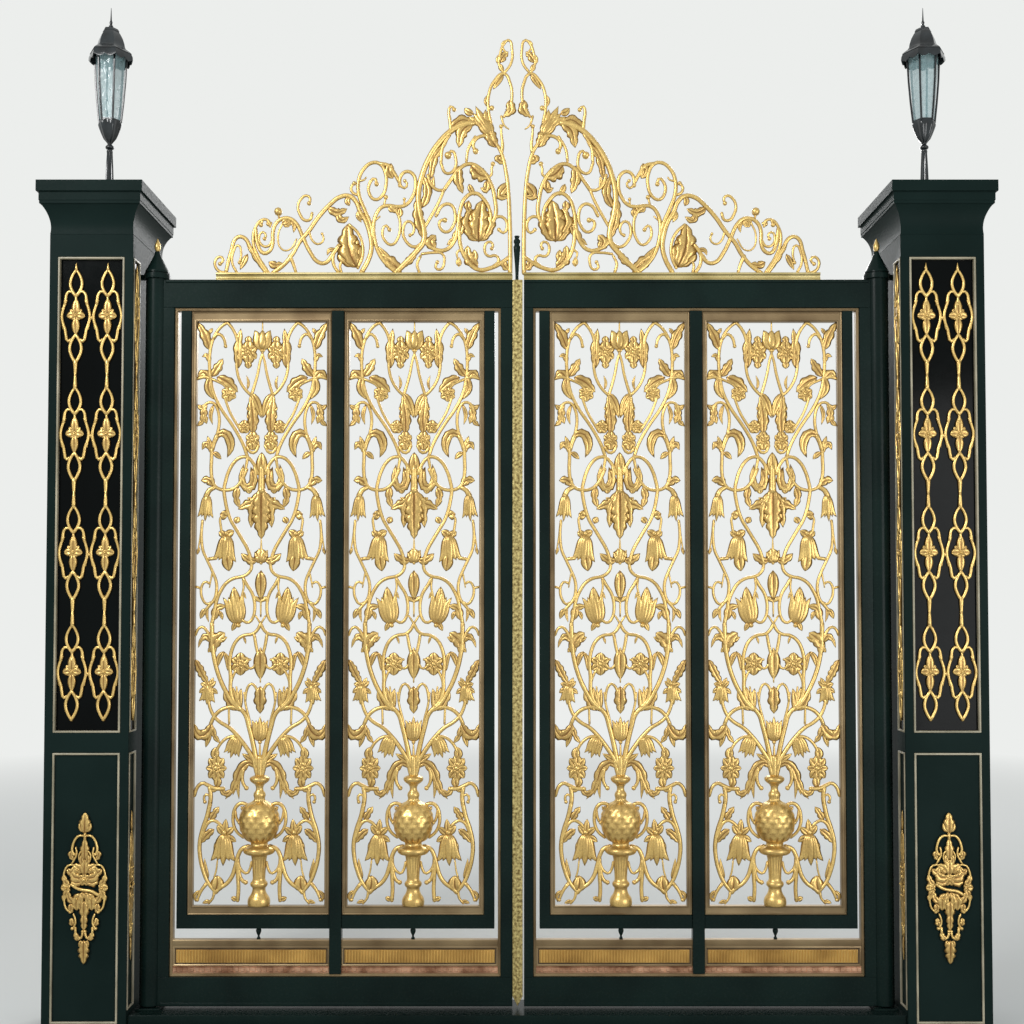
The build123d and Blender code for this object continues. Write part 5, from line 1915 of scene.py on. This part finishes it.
# Radius and height of the bolt's waisted body, its ring and its flared head.
BOLT_PROFILE = (
    (7, 0), (7, 30), (9, 70), (14, 130), (15, 146), (11, 152), (11, 158), (14, 162), (14, 172), (9, 178),
    (11, 190),
)


@dataclass
class Framework(Trade):
    """The dark steel frames, posts and sill, whose shapes the nodes already have.

    Attributes:
        frame_ease: how far the rounding of the leaves' bars reaches from each edge.
        block_ease: the same for the sill and the pillars.
        capital_ease: the same for the capitals.
        collar_ease: the same for the hinge fittings.
        lacquer_inset: how far inside a pillar's box a face is when it is a recess's back.
    """

    frame_ease: float = 2.0
    block_ease: float = 2.5
    capital_ease: float = 1.5
    collar_ease: float = 1.0
    lacquer_inset: float = 1.0

    def build(self) -> None:
        """Rounds the edges of each steel piece and paints it."""
        sill = eased("sill", self.block_ease)
        self.place("sill_steps", sill, "gloss_enamel", "gateway", Slot.FRAME, "sill")
        for side in SIDES:
            for part in ("stiles", "rails", "mullion", "panel_carriers"):
                node = f"{side}_{part}"
                bars = eased(node, self.frame_ease)
                self.place(f"{node}_steel", bars, "gloss_enamel", f"{side}_leaf", Slot.FRAME, node)
            node = f"hinge_fittings_{side}"
            collar = eased(node, self.collar_ease)
            self.place(f"{side}_collar", collar, "gloss_enamel", "gateway", Slot.FRAME, node)
            node = f"capital_{side}"
            capital = eased(node, self.capital_ease)
            self.place(f"{side}_capital_casing", capital, "casing_enamel", "gateway", Slot.PILLAR, node)
            self.shaft(side)
        foot = corners("centre_bolt")[0].z
        bolt = Casting()
        turned(bolt, BOLT_PROFILE, 24, by=(0, 0, foot))
        mesh = bolt.mesh("centre_bolt", sharp=40)
        self.place("meeting_bolt", mesh, "gloss_enamel", "left_leaf", Slot.FRAME, "centre_bolt")

    def shaft(self, side: str) -> None:
        """Makes one pillar's casing, with black lacquer on the backs of its upper recesses.

        Args:
            side: the pillar's side.
        """
        node = f"pillar_{side}"
        inset = Vector((self.lacquer_inset,) * 3)
        low, high = corners(node)
        low, high = low + inset, high - inset
        low.z = corners(f"chain_grilles_{side}")[0].z
        mesh = eased(node, self.block_ease)
        for name in ("casing_enamel", "black_lacquer"):
            mesh.materials.append(self.shop[name])
        for face in mesh.polygons:
            spot = face.center / MM
            if all(start < at < end for start, at, end in zip(low, spot, high)):
                face.material_index = 1
        self.place(f"{side}_pillar_casing", mesh, "casing_enamel", "gateway", Slot.PILLAR, node)


# The view of the photograph: a tall lens at eye height on the gateway's middle line.
EYE_DISTANCE = 5.36
EYE_HEIGHT = 1.757
PITCH = math.radians(1.9)
SENSOR = 36
FOCAL_PIXELS = 1299.4
FRAME_PIXELS = 1024
MIDDLE_PIXEL = 517
HORIZON_PIXEL = 600


# Name, place, aim, side in metres and power in watts of each soft lamp: a high key on the left, a
# fill on the right and a light from behind.
LAMPS = (
    ("key", (-5.0, -6.5, 6.6), (0, 0, 1.7), 2.6, 500),
    ("fill", (5.0, -6.0, 1.9), (0, 0, 1.4), 3.5, 190),
    ("back", (1.5, 6.5, 5.5), (0, 0, 2.0), 3.0, 260),
)
SHOWN_SKY = "#eceeec"


@dataclass(frozen=True)
class Stage:
    """Camera, lamps, floor and sky.

    Attributes:
        sky_light: colour of the light from the sky.
        sky_strength: how strong that light is for the sky that is seen.
        ground: colour of the floor.
        half: half the floor's side in metres.
        fade: distances in metres between which the floor fades into the sky.
    """

    sky_light: str = "#e4e9ee"
    sky_strength: float = 0.45
    ground: str = "#dcdedb"
    half: float = 60.0
    fade: Point = (4.0, 11.0)

    def build(self) -> None:
        """Sets the whole stage."""
        bpy.context.scene.view_settings.view_transform = "Standard"
        self.camera()
        self.lamps()
        self.sky()
        self.floor()

    def camera(self) -> None:
        """Sets the camera at the photograph's place."""
        data = bpy.data.cameras.new("eye")
        data.sensor_width = SENSOR
        data.lens = SENSOR * FOCAL_PIXELS / FRAME_PIXELS
        data.shift_x = (FRAME_PIXELS / 2 - MIDDLE_PIXEL) / FRAME_PIXELS
        tilt = FOCAL_PIXELS * math.tan(PITCH)
        data.shift_y = (HORIZON_PIXEL - FRAME_PIXELS / 2 - tilt) / FRAME_PIXELS
        eye = put("eye", data)
        eye.location = (0, -EYE_DISTANCE, EYE_HEIGHT)
        eye.rotation_euler = (math.pi / 2 + PITCH, 0, 0)
        bpy.context.scene.camera = eye

    def lamps(self) -> None:
        """Sets the lamps."""
        for name, spot, aim, side, power in LAMPS:
            data = bpy.data.lights.new(name, "AREA")
            data.size = side
            data.energy = power
            lamp = put(name, data)
            lamp.location = spot
            lamp.rotation_euler = (Vector(aim) - Vector(spot)).to_track_quat("-Z", "Y").to_euler()

    def sky(self) -> None:
        """A pale sky for the eye, metal and glass, and a weaker one that lights the object."""
        world = bpy.data.worlds.new("sky")
        world.use_nodes = True
        tree = world.node_tree
        ground = tree.nodes["Background"]
        feed(tree, ground, {"Color": linear(self.sky_light), "Strength": self.sky_strength})
        shown = add(tree, "ShaderNodeBackground", {"Color": linear(SHOWN_SKY), "Strength": 1.0})
        rays = add(tree, "ShaderNodeLightPath").outputs
        seen = worked_out(tree, "MAXIMUM", rays["Is Camera Ray"], rays["Is Glossy Ray"])
        either = worked_out(tree, "MAXIMUM", seen, rays["Is Transmission Ray"])
        blended(tree, either, ground.outputs["Background"], shown.outputs["Background"], "World Output")
        bpy.context.scene.world = world

    def floor(self) -> None:
        """A pale matt floor that fades into the sky with distance."""
        turns = ((-1, -1), (1, -1), (1, 1), (-1, 1))
        mesh = bpy.data.meshes.new("floor")
        mesh.from_pydata([(x * self.half, y * self.half, 0) for x, y in turns], [], [(0, 1, 2, 3)])
        floor = put("floor", mesh)
        floor.location.z = -0.5 * MM
        material, tree, shader, place = blank("studio_floor")
        feed(tree, shader, {"Base Color": linear(self.ground), "Roughness": 0.9, "Specular IOR Level": 0.0})
        away = add(tree, "ShaderNodeVectorMath", {0: place}, operation="LENGTH").outputs["Value"]
        glow = add(tree, "ShaderNodeEmission", {"Color": linear(SHOWN_SKY), "Strength": 1.0})
        share = mapped(tree, away, self.fade)
        blended(tree, share, shader.outputs["BSDF"], glow.outputs["Emission"], "Material Output")
        mesh.materials.append(material)


def blended(tree: Tree, share: Socket, first: Socket, second: Socket, output: str) -> None:
    """Ends a shader tree with a blend.

    Args:
        tree: the tree.
        share: 0 for all of the first shader to 1 for all of the second.
        first: the first shader.
        second: the second shader.
        output: the name of the tree's output node.
    """
    mixed = add(tree, "ShaderNodeMixShader", {0: share, 1: first, 2: second})
    tree.links.new(mixed.outputs["Shader"], tree.nodes[output].inputs["Surface"])


def main() -> None:
    """Builds and dresses the gateway, then sets the stage."""
    logging.basicConfig(level=logging.INFO, format="%(message)s")
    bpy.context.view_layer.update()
    shop = Shop()
    for trade in (Framework, Turnings, Brasswork, Panels, Crest, Chains, Plaques, PillarTrims, Lantern):
        trade(shop).build()
    Stage().build()


if __name__ == "__main__":
    main()
